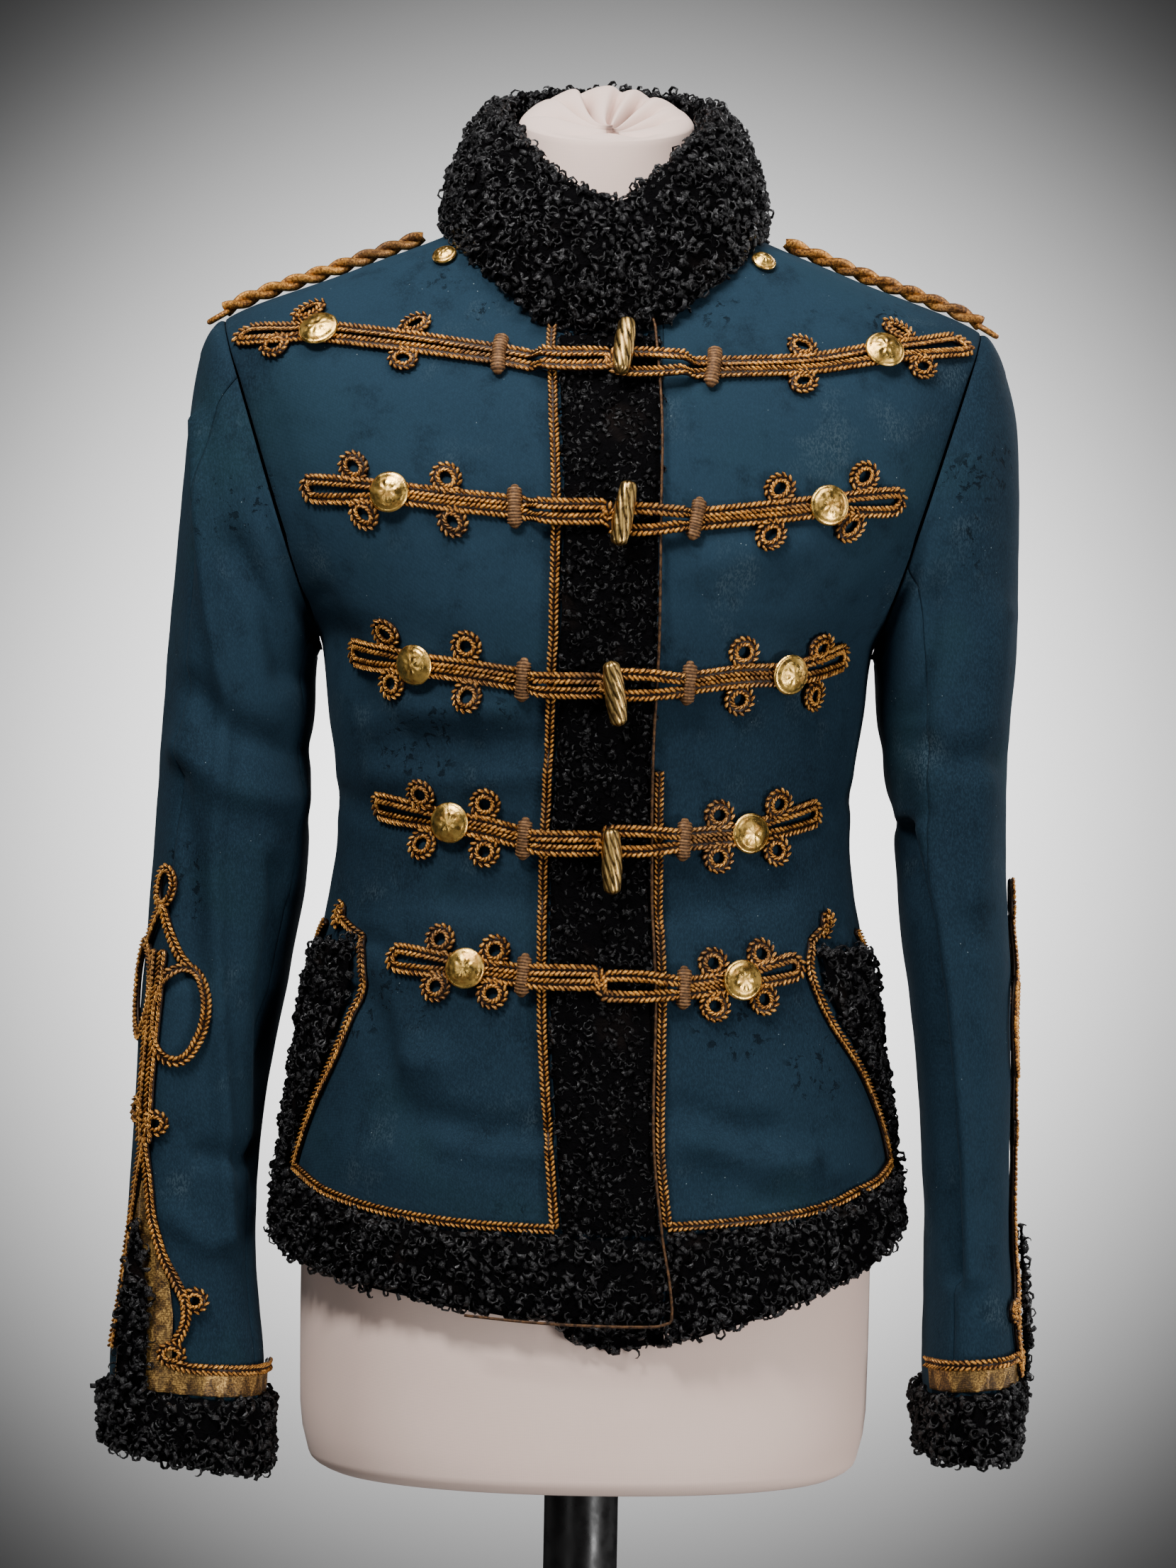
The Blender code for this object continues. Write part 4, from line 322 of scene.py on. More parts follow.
# The dress form's sections, low and high
FORM_LOW = (
    (0.7020, 0.1180, 0.0850, 0.0850), (0.7030, 0.1480, 0.1080, 0.1060), (0.7110, 0.1590, 0.1170, 0.1150),
    (0.7400, 0.1645, 0.1185, 0.1170), (0.8200, 0.1655, 0.1125, 0.1110), (0.9000, 0.1590, 0.1080, 0.1030),
    (0.9500, 0.1530, 0.1040, 0.0960), (1.0000, 0.1460, 0.1000, 0.0880), (1.0600, 0.1405, 0.0985, 0.0790),
)
FORM_BODY_HEIGHTS = (1.120, 1.178, 1.225, 1.275, 1.320, 1.355, 1.380, 1.400, 1.412)
FORM_HIGH = (
    (1.4250, 0.0610, 0.0530, 0.0530), (1.4420, 0.0535, 0.0520, 0.0500), (1.4850, 0.0495, 0.0500, 0.0480),
    (1.5000, 0.0450, 0.0420, 0.0460), (1.5110, 0.0310, 0.0250, 0.0360), (1.5150, 0.0170, 0.0100, 0.0240),
)


# The gathered top of the neck: its lip, its hole, and pleats by angle, half width and depth
NECK_LIP_MIDDLE = 1.4840
NECK_LIP_TILT = 0.0170
NECK_HOLE = (0.0035, -0.0300, 1.4765)
NECK_ROLL = (0.0012, 0.0120)       # height of the rolled brim in front and behind
NECK_PLEATS = (
    (-88, 9, 0.0150), (-126, 8, 0.0120), (-158, 8, 0.0150), (170, 7, 0.0110), (147, 8, 0.0150),
    (118, 8, 0.0100), (92, 9, 0.0110), (48, 10, 0.0030), (-40, 11, 0.0036),
)


# Camera and light
def camera():
    data = bpy.data.cameras.new("camera")
    data.lens = 98.5
    data.sensor_width = 36
    eye = bpy.data.objects.new("camera", data)
    bpy.context.scene.collection.objects.link(eye)
    eye.location = (-0.0037, -2.5, 1.10)
    eye.rotation_euler = (math.pi / 2, 0.0, 0.0)
    eye.rotation_euler.rotate_axis("Z", math.radians(1.06))
    bpy.context.scene.camera = eye


def area_light(name, place, target, size, power, colour=(1.0, 1.0, 1.0)):
    data = bpy.data.lights.new(name, "AREA")
    data.shape = "RECTANGLE"
    data.size, data.size_y = size
    data.energy = power
    data.color = colour
    light = bpy.data.objects.new(name, data)
    bpy.context.scene.collection.objects.link(light)
    light.location = place
    way = Vector(target) - Vector(place)
    light.rotation_euler = way.to_track_quat("-Z", "Y").to_euler()


def studio():
    """A pale floor, a pale backdrop far behind it, and soft lights."""
    world = bpy.data.worlds.new("studio")
    world.use_nodes = True
    world.node_tree.nodes["Background"].inputs["Color"].default_value = (0.82, 0.87, 0.95, 1.0)
    world.node_tree.nodes["Background"].inputs["Strength"].default_value = 0.05
    bpy.context.scene.world = world
    area_light("key", (-0.65, -1.30, 2.50), (0.0, 0.0, 1.25), (0.6, 0.4), 40)
    area_light("fill", (1.9, -1.9, 1.3), (0.0, 0.0, 1.1), (0.6, 1.2), 11)
    area_light("front", (-1.6, -2.2, 0.9), (0.0, 0.0, 0.95), (0.8, 1.2), 6)
    area_light("low", (1.25, -1.3, 0.42), (0.08, 0.0, 0.72), (0.4, 0.4), 17)
    area_light("top", (0.1, -0.55, 2.5), (0.0, 0.0, 1.45), (0.8, 0.4), 15)
    area_light("edge_left", (-1.5, 0.70, 1.35), (0.0, 0.0, 1.1), (0.3, 1.5), 3)
    area_light("behind", (1.3, 2.3, 2.3), (0.0, 0.0, 1.05), (0.8, 0.8), 24)
    area_light("edge_right", (1.5, 0.40, 1.35), (0.0, 0.0, 1.1), (0.35, 1.5), 11)
    spot = bpy.data.lights.new("backdrop_glow", "SPOT")
    spot.energy = 3250
    spot.spot_size = math.radians(104)
    spot.spot_blend = 1.0
    spot.shadow_soft_size = 0.20
    glow = bpy.data.objects.new("backdrop_glow", spot)
    bpy.context.scene.collection.objects.link(glow)
    glow.location = (0.0, 5.12, 1.06)
    glow.rotation_euler = (math.pi / 2, 0.0, 0.0)
    profile = ((-6.0, 0.0), (2.2, 0.0), (2.2, -1.5), (7.0, -1.5), (7.0, 6.0))
    points = [(x, y, z) for x in (-6.0, 6.0) for y, z in profile]
    count = len(profile)
    faces = [(n, n + 1, n + count + 1, n + count) for n in range(count - 1)]
    mesh = bpy.data.meshes.new("floor")
    mesh.from_pydata(points, [], faces)
    floor = bpy.data.objects.new("floor", mesh)
    bpy.context.scene.collection.objects.link(floor)
    pale = Look("pale_floor", (0.14, 0.14, 0.14), 0.9)
    mesh.materials.append(pale.material)


# Materials
class Look:
    """A procedural material, built up node by node on one Principled shader."""

    def __init__(self, name, colour, roughness, **sockets):
        self.material = bpy.data.materials.new(name)
        self.material.use_nodes = True
        self.nodes = self.material.node_tree.nodes
        self.links = self.material.node_tree.links
        self.shader = self.nodes["Principled BSDF"]
        self.shader.inputs["Base Color"].default_value = (*colour, 1.0)
        self.shader.inputs["Roughness"].default_value = roughness
        for socket, value in sockets.items():
            self.shader.inputs[socket.replace("_", " ")].default_value = value
        self.place = self.nodes.new("ShaderNodeTexCoord").outputs["Object"]
        self.last_bump = None

    def stretched(self, scale):
        """Coordinates stretched along the axes."""
        node = self.nodes.new("ShaderNodeMapping")
        node.inputs["Scale"].default_value = scale
        self.links.new(self.place, node.inputs["Vector"])
        return node.outputs["Vector"]

    def noise(self, scale, detail=3.0, roughness=0.55, at=None, twist=0.0):
        node = self.nodes.new("ShaderNodeTexNoise")
        node.inputs["Distortion"].default_value = twist
        node.inputs["Scale"].default_value = scale
        node.inputs["Detail"].default_value = detail
        node.inputs["Roughness"].default_value = roughness
        self.links.new(at or self.place, node.inputs["Vector"])
        return node.outputs["Fac"]

    def cells(self, scale, at=None, smooth=False):
        node = self.nodes.new("ShaderNodeTexVoronoi")
        node.feature = "SMOOTH_F1" if smooth else "F1"
        node.inputs["Scale"].default_value = scale
        self.links.new(at or self.place, node.inputs["Vector"])
        return node.outputs["Distance"]

    def wave(self, scale, direction="Z", distortion=0.0, detail=0.0, at=None):
        node = self.nodes.new("ShaderNodeTexWave")
        node.bands_direction = direction
        node.inputs["Scale"].default_value = scale
        node.inputs["Distortion"].default_value = distortion
        node.inputs["Detail"].default_value = detail
        self.links.new(at or self.place, node.inputs["Vector"])
        return node.outputs["Fac"]

    def attribute(self, name):
        node = self.nodes.new("ShaderNodeAttribute")
        node.attribute_name = name
        return node.outputs["Fac"]

    def threads(self, count):
        """Fine lines along or across a strand, from its lane."""
        return self.maths("SINE", self.maths("MULTIPLY", self.attribute("lane"), count), 0.0)

    def axis(self, name):
        """One coordinate of the place, in metres."""
        node = self.nodes.new("ShaderNodeSeparateXYZ")
        self.links.new(self.place, node.inputs["Vector"])
        return node.outputs[name]

    def span(self, source, low, high, to_low=0.0, to_high=1.0):
        """Source between low and high, turned into a share."""
        node = self.nodes.new("ShaderNodeMapRange")
        node.interpolation_type = "SMOOTHSTEP"
        self.links.new(source, node.inputs["Value"])
        for socket, value in zip(("From Min", "From Max", "To Min", "To Max"), (low, high, to_low, to_high)):
            node.inputs[socket].default_value = value
        return node.outputs["Result"]

    def maths(self, operation, first, second):
        node = self.nodes.new("ShaderNodeMath")
        node.operation = operation
        for socket, value in zip(node.inputs, (first, second)):
            if isinstance(value, (int, float)):
                socket.default_value = value
            else:
                self.links.new(value, socket)
        return node.outputs["Value"]

    def ramp(self, source, *stops):
        node = self.nodes.new("ShaderNodeValToRGB")
        elements = node.color_ramp.elements
        while len(elements) < len(stops):
            elements.new(0.5)
        for element, (place, colour) in zip(elements, stops):
            element.position = place
            element.color = (*colour, 1.0)
        self.links.new(source, node.inputs["Fac"])
        return node.outputs["Color"]

    def mix(self, share, first, second, kind="MIX"):
        node = self.nodes.new("ShaderNodeMix")
        node.data_type = "RGBA"
        node.blend_type = kind
        sockets = (node.inputs[0], node.inputs[6], node.inputs[7])
        for socket, value in zip(sockets, (share, first, second)):
            if isinstance(value, (int, float)):
                socket.default_value = value
            elif isinstance(value, tuple):
                socket.default_value = (*value, 1.0)
            else:
                self.links.new(value, socket)
        return node.outputs[2]

    def bump(self, height, strength, distance):
        node = self.nodes.new("ShaderNodeBump")
        node.inputs["Strength"].default_value = strength
        node.inputs["Distance"].default_value = distance
        self.links.new(height, node.inputs["Height"])
        if self.last_bump is not None:
            self.links.new(self.last_bump, node.inputs["Normal"])
        self.last_bump = node.outputs["Normal"]
        self.links.new(self.last_bump, self.shader.inputs["Normal"])

    def use(self, socket, source):
        self.links.new(source, self.shader.inputs[socket])


def cloth_look(name, dark, light, worn):
    """Felted broadcloth: mottled dye, painted light on the middle of the chest, short nap, moth marks and lint."""
    look = Look(name, light, 0.90, Specular_IOR_Level=0.09, Sheen_Weight=0.02, Sheen_Roughness=0.4)
    look.shader.inputs["Sheen Tint"].default_value = (0.55, 0.75, 0.95, 1.0)
    tone = look.ramp(look.noise(6.5, 4.0, 0.6), (0.34, dark), (0.66, light))
    green = tuple(value * share for value, share in zip(light, (0.75, 1.0, 0.80)))
    tone = look.mix(look.span(look.noise(9.0, 3.0), 0.50, 0.72, 0.0, 0.8), tone, green)
    # Painted light: the middle of the chest above the waist is lightened, as where the light from above falls most.
    inside = look.span(look.maths("ABSOLUTE", look.axis("X"), 0.0), 0.225, 0.150)
    chest_painted_light = look.maths("MULTIPLY", look.span(look.axis("Z"), 1.06, 1.24), inside)
    tone = look.mix(look.maths("MULTIPLY", chest_painted_light, 0.62), tone, tuple(1.55 * value for value in light))
    mottle = look.span(look.noise(42.0, 5.0, 0.66), 0.48, 0.78, 0.0, 0.72)
    tone = look.mix(mottle, tone, tuple(0.60 * value for value in dark))
    nap = look.noise(1100.0, 2.0, 0.6, look.stretched((1.0, 1.0, 0.45)))
    tone = look.mix(look.span(nap, 0.35, 0.75, 0.0, 0.42), tone, tuple(1.9 * value for value in light))
    dust = look.maths("MULTIPLY", look.span(look.noise(19.0, 4.0, 0.6), 0.57, 0.72),
        look.span(nap, 0.42, 0.62))
    tone = look.mix(look.maths("MULTIPLY", dust, 0.30), tone, worn)
    eaten = look.maths(
        "MULTIPLY", look.span(look.noise(150.0, 5.0, 0.65, twist=0.4), 0.565, 0.625),
        look.span(look.noise(12.0, 2.0), 0.60, 0.68),
    )
    tone = look.mix(look.maths("MULTIPLY", eaten, 0.75), tone, tuple(0.28 * value for value in dark))
    lint = look.maths(
        "MULTIPLY", look.span(look.cells(190.0), 0.075, 0.045), look.span(look.noise(37.0, 2.0), 0.56, 0.64)
    )
    tone = look.mix(look.maths("MULTIPLY", lint, 0.6), tone, (0.26, 0.33, 0.35))
    look.use("Base Color", tone)
    look.bump(look.wave(330.0, "DIAGONAL", 1.2, 1.0), 0.08, 0.0003)
    look.bump(nap, 0.28, 0.0005)
    look.bump(look.maths("SUBTRACT", 1.0, eaten), 0.6, 0.0007)
    look.bump(look.noise(240.0, 4.0, 0.6), 0.25, 0.0008)
    return look.material


def fur_look():
    """Black lambskin: glossy locks over dull matted wool, a little brown where worn."""
    look = Look("black_lambskin", (0.010, 0.009, 0.011), 0.40)
    lock = look.span(look.attribute("tint"), 0.06, 0.16)
    shade = look.ramp(look.attribute("tint"), (0.0, (0.0016, 0.0014, 0.0017)),
        (0.6, (0.0040, 0.0034, 0.0041)),
                      (1.0, (0.013, 0.011, 0.0125)))
    worn = look.span(look.noise(30.0, 3.0), 0.58, 0.78, 0.0, 0.30)
    look.use("Base Color", look.mix(worn, shade, (0.024, 0.016, 0.013)))
    look.use("Specular IOR Level", look.span(look.attribute("tint"), 0.08, 0.85, 0.03, 0.68))
    gloss = look.span(look.noise(260.0, 3.0), 0.3, 0.7, 0.24, 0.46)
    look.use("Roughness", look.maths("MAXIMUM", gloss, look.span(lock, 0.0, 1.0, 0.85, 0.0)))
    look.bump(look.noise(170.0, 3.0, 0.6, twist=2.2), 0.9, 0.0022)
    look.bump(look.threads(15.0), 0.45, 0.0004)
    look.bump(look.noise(1500.0, 2.0, 0.7, look.stretched((1.0, 1.0, 0.3))), 0.4, 0.0004)
    return look.material


def braid_look():
    """Gold thread: painted highlight on top of each stitch, painted brown shade between the stitches, and tarnish in
    patches.
    """
    look = Look("gold_thread", (0.45, 0.22, 0.07), 0.42, Metallic=0.50, Specular_IOR_Level=0.30)
    thread = look.maths("ADD", look.attribute("tint"),
        look.span(look.noise(700.0, 2.0), 0.3, 0.7, -0.22, 0.22))
    thread = look.maths("ADD", thread, look.maths("MULTIPLY", look.threads(13.0), 0.10))
    # The tint carries painted light and shade: bright gold on top of each stitch, dark brown on its sides and in the
    # core between.
    gold = look.ramp(thread, (0.10, (0.014, 0.006, 0.003)), (0.42, (0.13, 0.050, 0.014)),
                     (0.70, (0.50, 0.205, 0.036)), (1.0, (0.95, 0.47, 0.105)))
    tarnish = look.span(look.noise(26.0, 3.0), 0.48, 0.68, 0.0, 0.66)
    dulled = look.ramp(thread, (0.1, (0.018, 0.010, 0.007)), (0.9, (0.25, 0.130, 0.062)))
    look.use("Base Color", look.mix(tarnish, gold, dulled))
    look.use("Roughness", look.span(look.noise(500.0, 2.0), 0.3, 0.7, 0.34, 0.58))
    look.bump(look.threads(13.0), 0.5, 0.0004)
    look.bump(look.noise(1600.0, 2.0), 0.25, 0.0003)
    return look.material


def keeper_look():
    """Brown thread wound round the braid."""
    look = Look("wound_thread", (0.20, 0.11, 0.06), 0.60, Metallic=0.35, Specular_IOR_Level=0.25)
    tone = look.ramp(look.maths("ADD", look.attribute("tint"),
        look.span(look.noise(600.0), 0.3, 0.7, -0.2, 0.2)),
                     (0.0, (0.022, 0.011, 0.006)), (0.6, (0.17, 0.082, 0.034)), (1.0, (0.36, 0.185, 0.075)))
    look.use("Base Color", tone)
    look.bump(look.noise(1500.0, 3.0), 0.4, 0.0003)
    return look.material


def lace_look():
    """Woven gold lace with a zigzag, tarnished brown."""
    look = Look("zigzag_lace", (0.30, 0.18, 0.06), 0.45, Metallic=0.5)
    thread = look.maths("ADD", look.attribute("tint"),
        look.span(look.noise(900.0, 2.0), 0.3, 0.7, -0.3, 0.3))
    gold = look.ramp(thread, (0.1, (0.050, 0.024, 0.007)), (0.5, (0.21, 0.110, 0.028)),
        (0.95, (0.62, 0.37, 0.105)))
    tarnish = look.span(look.noise(60.0, 3.0), 0.45, 0.68, 0.0, 0.6)
    look.use("Base Color", look.mix(tarnish, gold, (0.075, 0.045, 0.022)))
    look.bump(look.wave(300.0, "Z", 1.0, 1.0), 0.3, 0.0003)
    return look.material


def gilt_look():
    look = Look("gilt", (0.88, 0.56, 0.17), 0.24, Metallic=1.0)
    worn = look.span(look.noise(160.0, 4.0, 0.65), 0.46, 0.66)
    look.use("Base Color", look.mix(worn, (1.0, 0.62, 0.155), (0.70, 0.36, 0.085)))
    look.use("Roughness", look.span(look.noise(240.0, 3.0), 0.3, 0.7, 0.20, 0.44))
    look.bump(look.noise(420.0, 4.0, 0.6), 0.45, 0.0006)
    return look.material


def brass_look():
    look = Look("aged_brass", (0.50, 0.36, 0.16), 0.34, Metallic=1.0)
    groove = look.span(look.attribute("tint"), 0.15, 0.75)
    aged = look.mix(groove, (0.085, 0.045, 0.016), (0.62, 0.40, 0.130))
    look.use("Base Color", look.mix(look.span(look.noise(190.0, 4.0), 0.5, 0.75), aged, (0.20, 0.115, 0.05)))
    look.use("Roughness", look.span(look.noise(300.0, 3.0), 0.3, 0.7, 0.26, 0.50))
    look.bump(look.noise(900.0, 3.0), 0.25, 0.0003)
    return look.material


def form_look():
    """Cream cotton jersey, stretched over the padded form."""
    look = Look("form_jersey", (0.82, 0.68, 0.61), 0.85, Specular_IOR_Level=0.25, Sheen_Weight=0.10)
    tone = look.ramp(look.noise(5.0, 3.0), (0.3, (0.90, 0.655, 0.560)), (0.7, (0.95, 0.725, 0.630)))
    ribs = look.wave(520.0, "X", 0.6, 1.0)
    tone = look.mix(look.maths("MULTIPLY", ribs, 0.10), tone, (0.62, 0.49, 0.43))
    # Painted shade: where the tint is low, in the troughs of the neck's pleats and down into its hole, the jersey
    # turns dark brown.
    tone = look.mix(look.span(look.attribute("tint"), 0.48, 0.05), tone, (0.30, 0.165, 0.125))
    look.use("Base Color", tone)
    look.bump(ribs, 0.12, 0.0002)
    look.bump(look.wave(430.0, "Z", 0.8, 1.0), 0.10, 0.0002)
    look.bump(look.noise(60.0, 4.0), 0.10, 0.0010)
    return look.material


def stand_look():
    look = Look("black_enamel", (0.006, 0.006, 0.007), 0.34, Specular_IOR_Level=0.4)
    look.use("Base Color", look.ramp(look.noise(24.0, 5.0, 0.7), (0.35, (0.004, 0.004, 0.004)),
        (0.8, (0.012, 0.011, 0.011))))
    look.use("Roughness", look.span(look.noise(80.0, 4.0), 0.3, 0.7, 0.26, 0.50))
    look.bump(look.noise(900.0, 2.0), 0.10, 0.0002)
    return look.material


# Smooth curves and the coat's surfaces, over arrays
def smooth_table(rows):
    """Monotone cubic through a table whose first column rises. Returns a lookup."""
    table = np.array(rows, dtype=float)
    places, values = table[:, 0], table[:, 1:]
    steps = np.diff(places)
    slopes = np.diff(values, axis=0) / steps[:, None]
    before, after = slopes[:-1], slopes[1:]
    same_way = before * after > 0
    tangents = np.zeros_like(values)
    tangents[0], tangents[-1] = slopes[0], slopes[-1]
    tangents[1:-1] = np.where(same_way, 2 * before * after / np.where(same_way, before + after, 1.0), 0.0)

    def lookup(place):
        place = np.clip(np.asarray(place, dtype=float), places[0], places[-1])
        row = np.clip(np.searchsorted(places, place, side="right") - 1, 0, len(places) - 2)
        step = steps[row][..., None]
        share = (place - places[row])[..., None] / step
        rest = 1 - share
        return (
            (1 + 2 * share) * rest * rest * values[row]
            + share * rest * rest * step * tangents[row]
            + share * share * (3 - 2 * share) * values[row + 1]
            - share * share * rest * step * tangents[row + 1]
        )
    return lookup


body_section = smooth_table(BODY)
placket_line = smooth_table(PLACKET)
hem_line = {side: smooth_table(rows) for side, rows in HEM.items()}
sleeve_ring = {
    side: smooth_table([(number, *row) for number, row in enumerate(rows)])
    for side, rows in SLEEVE.items()
}


def smooth_step(value):
    value = np.clip(value, 0.0, 1.0)
    return value * value * (3 - 2 * value)


def signed_power(value, power):
    return np.sign(value) * np.abs(value) ** power


def unit(vectors):
    return vectors / np.maximum(np.linalg.norm(vectors, axis=-1, keepdims=True), 1e-12)


def wavelets(count, longest, shortest, seed):
    """Directions, phases and weights of a pseudo noise made of sine waves."""
    draw = np.random.default_rng(seed)
    lengths = longest * (shortest / longest) ** draw.random(count)
    turns = draw.random(count) * math.tau
    waves = np.stack([np.cos(turns), np.sin(turns)], -1) * (math.tau / lengths)[:, None]
    return waves, draw.random(count) * math.tau, lengths / longest


RIPPLE = wavelets(26, 0.090, 0.022, 7)


def ripple(across, up):
    """Slight unevenness of worn cloth, about from -1 to 1."""
    waves, phases, weights = RIPPLE
    total = sum(
        weight * np.sin(across * wave[0] + up * wave[1] + phase)
        for wave, phase, weight in zip(waves, phases, weights)
    )
    return total / np.sum(weights) * 3.0


def stroke_height(x, z, strokes):
    """Ridges and troughs along lines drawn in the picture plane."""
    lift = np.zeros_like(x)
    for line, half_width, height in strokes:
        nearest = np.full_like(x, 1.0)
        for (x0, z0), (x1, z1) in zip(line, line[1:]):
            length = (x1 - x0) ** 2 + (z1 - z0) ** 2
            share = np.clip(((x - x0) * (x1 - x0) + (z - z0) * (z1 - z0)) / length, 0.0, 1.0)
            away = np.hypot(x - x0 - share * (x1 - x0), z - z0 - share * (z1 - z0))
            nearest = np.minimum(nearest, away)
        lift += CREASE_DEPTH * height * np.exp(-(nearest / half_width) ** 2)
    return lift


def fold_height(angle, z):
    lift = np.zeros_like(angle)
    degrees = np.degrees(angle)
    for fold_angle, fold_z, half_length, half_width, tilt, height in FOLDS:
        across = np.radians((degrees - fold_angle + 180) % 360 - 180) * 0.15
        up = z - fold_z
        turn = math.radians(tilt)
        along = across * math.cos(turn) + up * math.sin(turn)
        over = up * math.cos(turn) - across * math.sin(turn)
        lift += height * np.exp(-(along / half_length) ** 2 - (over / half_width) ** 2)
    return lift


def bare_body(angle, z):
    angle, z = np.broadcast_arrays(np.asarray(angle, float), np.asarray(z, float))
    half_width, front, back = np.moveaxis(body_section(z), -1, 0)
    power = 2 / SECTION_ROUNDNESS
    depth = np.where(np.cos(angle) > 0, front, back)
    x = half_width * signed_power(np.sin(angle), power)
    return np.stack([x, -depth * signed_power(np.cos(angle), power), z], -1)


def body_normal(angle, z):
    turn, rise = math.radians(1.0), 0.002
    around = bare_body(angle + turn, z) - bare_body(angle - turn, z)
    upward = bare_body(angle, z + rise) - bare_body(angle, z - rise)
    return unit(np.cross(around, upward))


def body_relief(angle, z):
    """All folds of the body's cloth at a place."""
    point = bare_body(angle, z)
    front = smooth_step(0.5 - point[..., 1] / 0.03)
    lift = fold_height(angle, z) + 0.00035 * ripple(angle * 0.15, z)
    lift += front * stroke_height(point[..., 0], z, FRONT_STROKES)
    lift += (1 - front) * stroke_height(point[..., 0], z, BACK_STROKES)
    room = FORM_CLEARANCE * 0.55 + 0.0035 * smooth_step((1.25 - z) / 0.10)
    return np.where(lift < 0, -room * np.tanh(-lift / room), lift)


def body(angle, z, out=0.0):
    angle, z = np.broadcast_arrays(np.asarray(angle, float), np.asarray(z, float))
    reach = np.asarray(out) + body_relief(angle, z)
    return bare_body(angle, z) + body_normal(angle, z) * reach[..., None]


def angle_at(x, z):
    half_width = body_section(z)[..., 0]
    share = np.minimum(1.0, np.abs(x) / half_width)
    return np.copysign(np.arcsin(share ** (SECTION_ROUNDNESS / 2)), x)


def armhole_x(z):
    share = (z - ARMPIT[1]) / (SHOULDER_TIP[1] - ARMPIT[1])
    return ARMPIT[0] + share * (SHOULDER_TIP[0] - ARMPIT[0])


def armhole_angle(z, behind):
    angle = angle_at(armhole_x(z), z)
    return np.where(behind, math.pi - angle, angle)


GIRTH_ANGLES = np.radians(np.arange(-200, 381, 2.0))
CENTRE_FRONT = 100


def girth(z):
    """Distance round the body from centre front to each of GIRTH_ANGLES, at one height."""
    places = bare_body(GIRTH_ANGLES, z)
    lengths = np.concatenate(([0.0], np.cumsum(np.linalg.norm(np.diff(places, axis=0), axis=1))))
    return lengths - lengths[CENTRE_FRONT]


def gap_angle(z=1.0):
    return SEAM / 2 / body_section(z)[1]


# Meshes
def grid_faces(rows, columns, ring=False, start=0):
    """Quads between the points of a grid, open or joined round."""
    spans = columns if ring else columns - 1
    row, column = np.meshgrid(np.arange(rows - 1), np.arange(spans), indexing="ij")
    after = (column + 1) % columns
    corners = [row * columns + column, row * columns + after, (row + 1) * columns + after,
               (row + 1) * columns + column]
    return np.stack(corners, -1).reshape(-1, 4) + start


class Shape:
    """Collects points and faces, with a tint and a thread lane for each point, for one mesh."""

    def __init__(self):
        self.points, self.faces, self.tints, self.lanes = [], [], [], []
        self.count = 0

    def add(self, points, faces, tint=0.5, lane=0.0):
        points = np.asarray(points, float).reshape(-1, 3)
        self.points.append(points)
        self.tints.append(np.broadcast_to(np.asarray(tint, float).ravel(), len(points)))
        self.lanes.append(np.broadcast_to(np.asarray(lane, float).ravel(), len(points)))
        for block in faces:
            self.faces.append(np.asarray(block) + self.count)
        self.count += len(points)

    def finish(self, name, material, nodes, smooth=True):
        mesh = bpy.data.meshes.new(name)
        faces = [tuple(face) for block in self.faces for face in block.tolist()]
        mesh.from_pydata(np.concatenate(self.points).tolist(), [], faces)
        for word, values in (("tint", self.tints), ("lane", self.lanes)):
            layer = mesh.attributes.new(word, "FLOAT", "POINT")
            layer.data.foreach_set("value", np.concatenate(values).astype(np.float32))
        mesh.materials.append(material)
        if smooth:
            mesh.shade_smooth()
        piece = bpy.data.objects.new(name, mesh)
        bpy.context.scene.collection.objects.link(piece)
        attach(piece, "root")
        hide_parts(*nodes)
        return piece


def add_slab(shape, upper, lower, ring=False, tint=0.5):
    """A closed wall between two grids of points."""
    rows, columns = upper.shape[:2]
    size = rows * columns
    number = np.arange(2 * size).reshape(2, rows, columns)
    blocks = [grid_faces(rows, columns, ring), grid_faces(rows, columns, ring, size)[:, ::-1]]
    edges = [number[:, 0, :], number[:, -1, ::-1]]
    if not ring:
        edges += [number[:, ::-1, 0], number[:, :, -1]]
    for low_high in edges:
        first, second = low_high
        if ring:
            first, second = np.append(first, first[0]), np.append(second, second[0])
        blocks.append(np.stack([first[1:], first[:-1], second[:-1], second[1:]], -1))
    shape.add(np.concatenate([upper.reshape(-1, 3), lower.reshape(-1, 3)]), blocks, tint)


def tube_points(line, across, up, wide, tall, sides):
    """Rings round a line: across and up give each ring's plane."""
    turns = np.arange(sides) * math.tau / sides
    wide, tall = np.broadcast_to(wide, len(line)), np.broadcast_to(tall, len(line))
    return (
        line[:, None, :]
        + across[:, None, :] * (np.cos(turns)[None, :] * wide[:, None])[..., None]
        + up[:, None, :] * (np.sin(turns)[None, :] * tall[:, None])[..., None]
    )


def add_tube(shape, line, up, wide, tall, sides, closed=False, tint=0.5, lane=0.0):
    """A tube along a line, wide across the surface and tall off it."""
    if closed:
        along = unit(np.roll(line, -1, axis=0) - np.roll(line, 1, axis=0))
    else:
        along = unit(np.gradient(line, axis=0))
    across = unit(np.cross(along, up))
    rise = unit(np.cross(across, along))
    rings = tube_points(line, across, rise, wide, tall, sides)
    if closed:
        rings = np.concatenate([rings, rings[:1]])
    blocks = [grid_faces(len(rings), sides, ring=True)]
    if not closed:
        last = (len(rings) - 1) * sides
        blocks += [np.arange(sides)[None, ::-1], np.arange(last, last + sides)[None, :]]
    shape.add(rings, blocks, tint, lane)


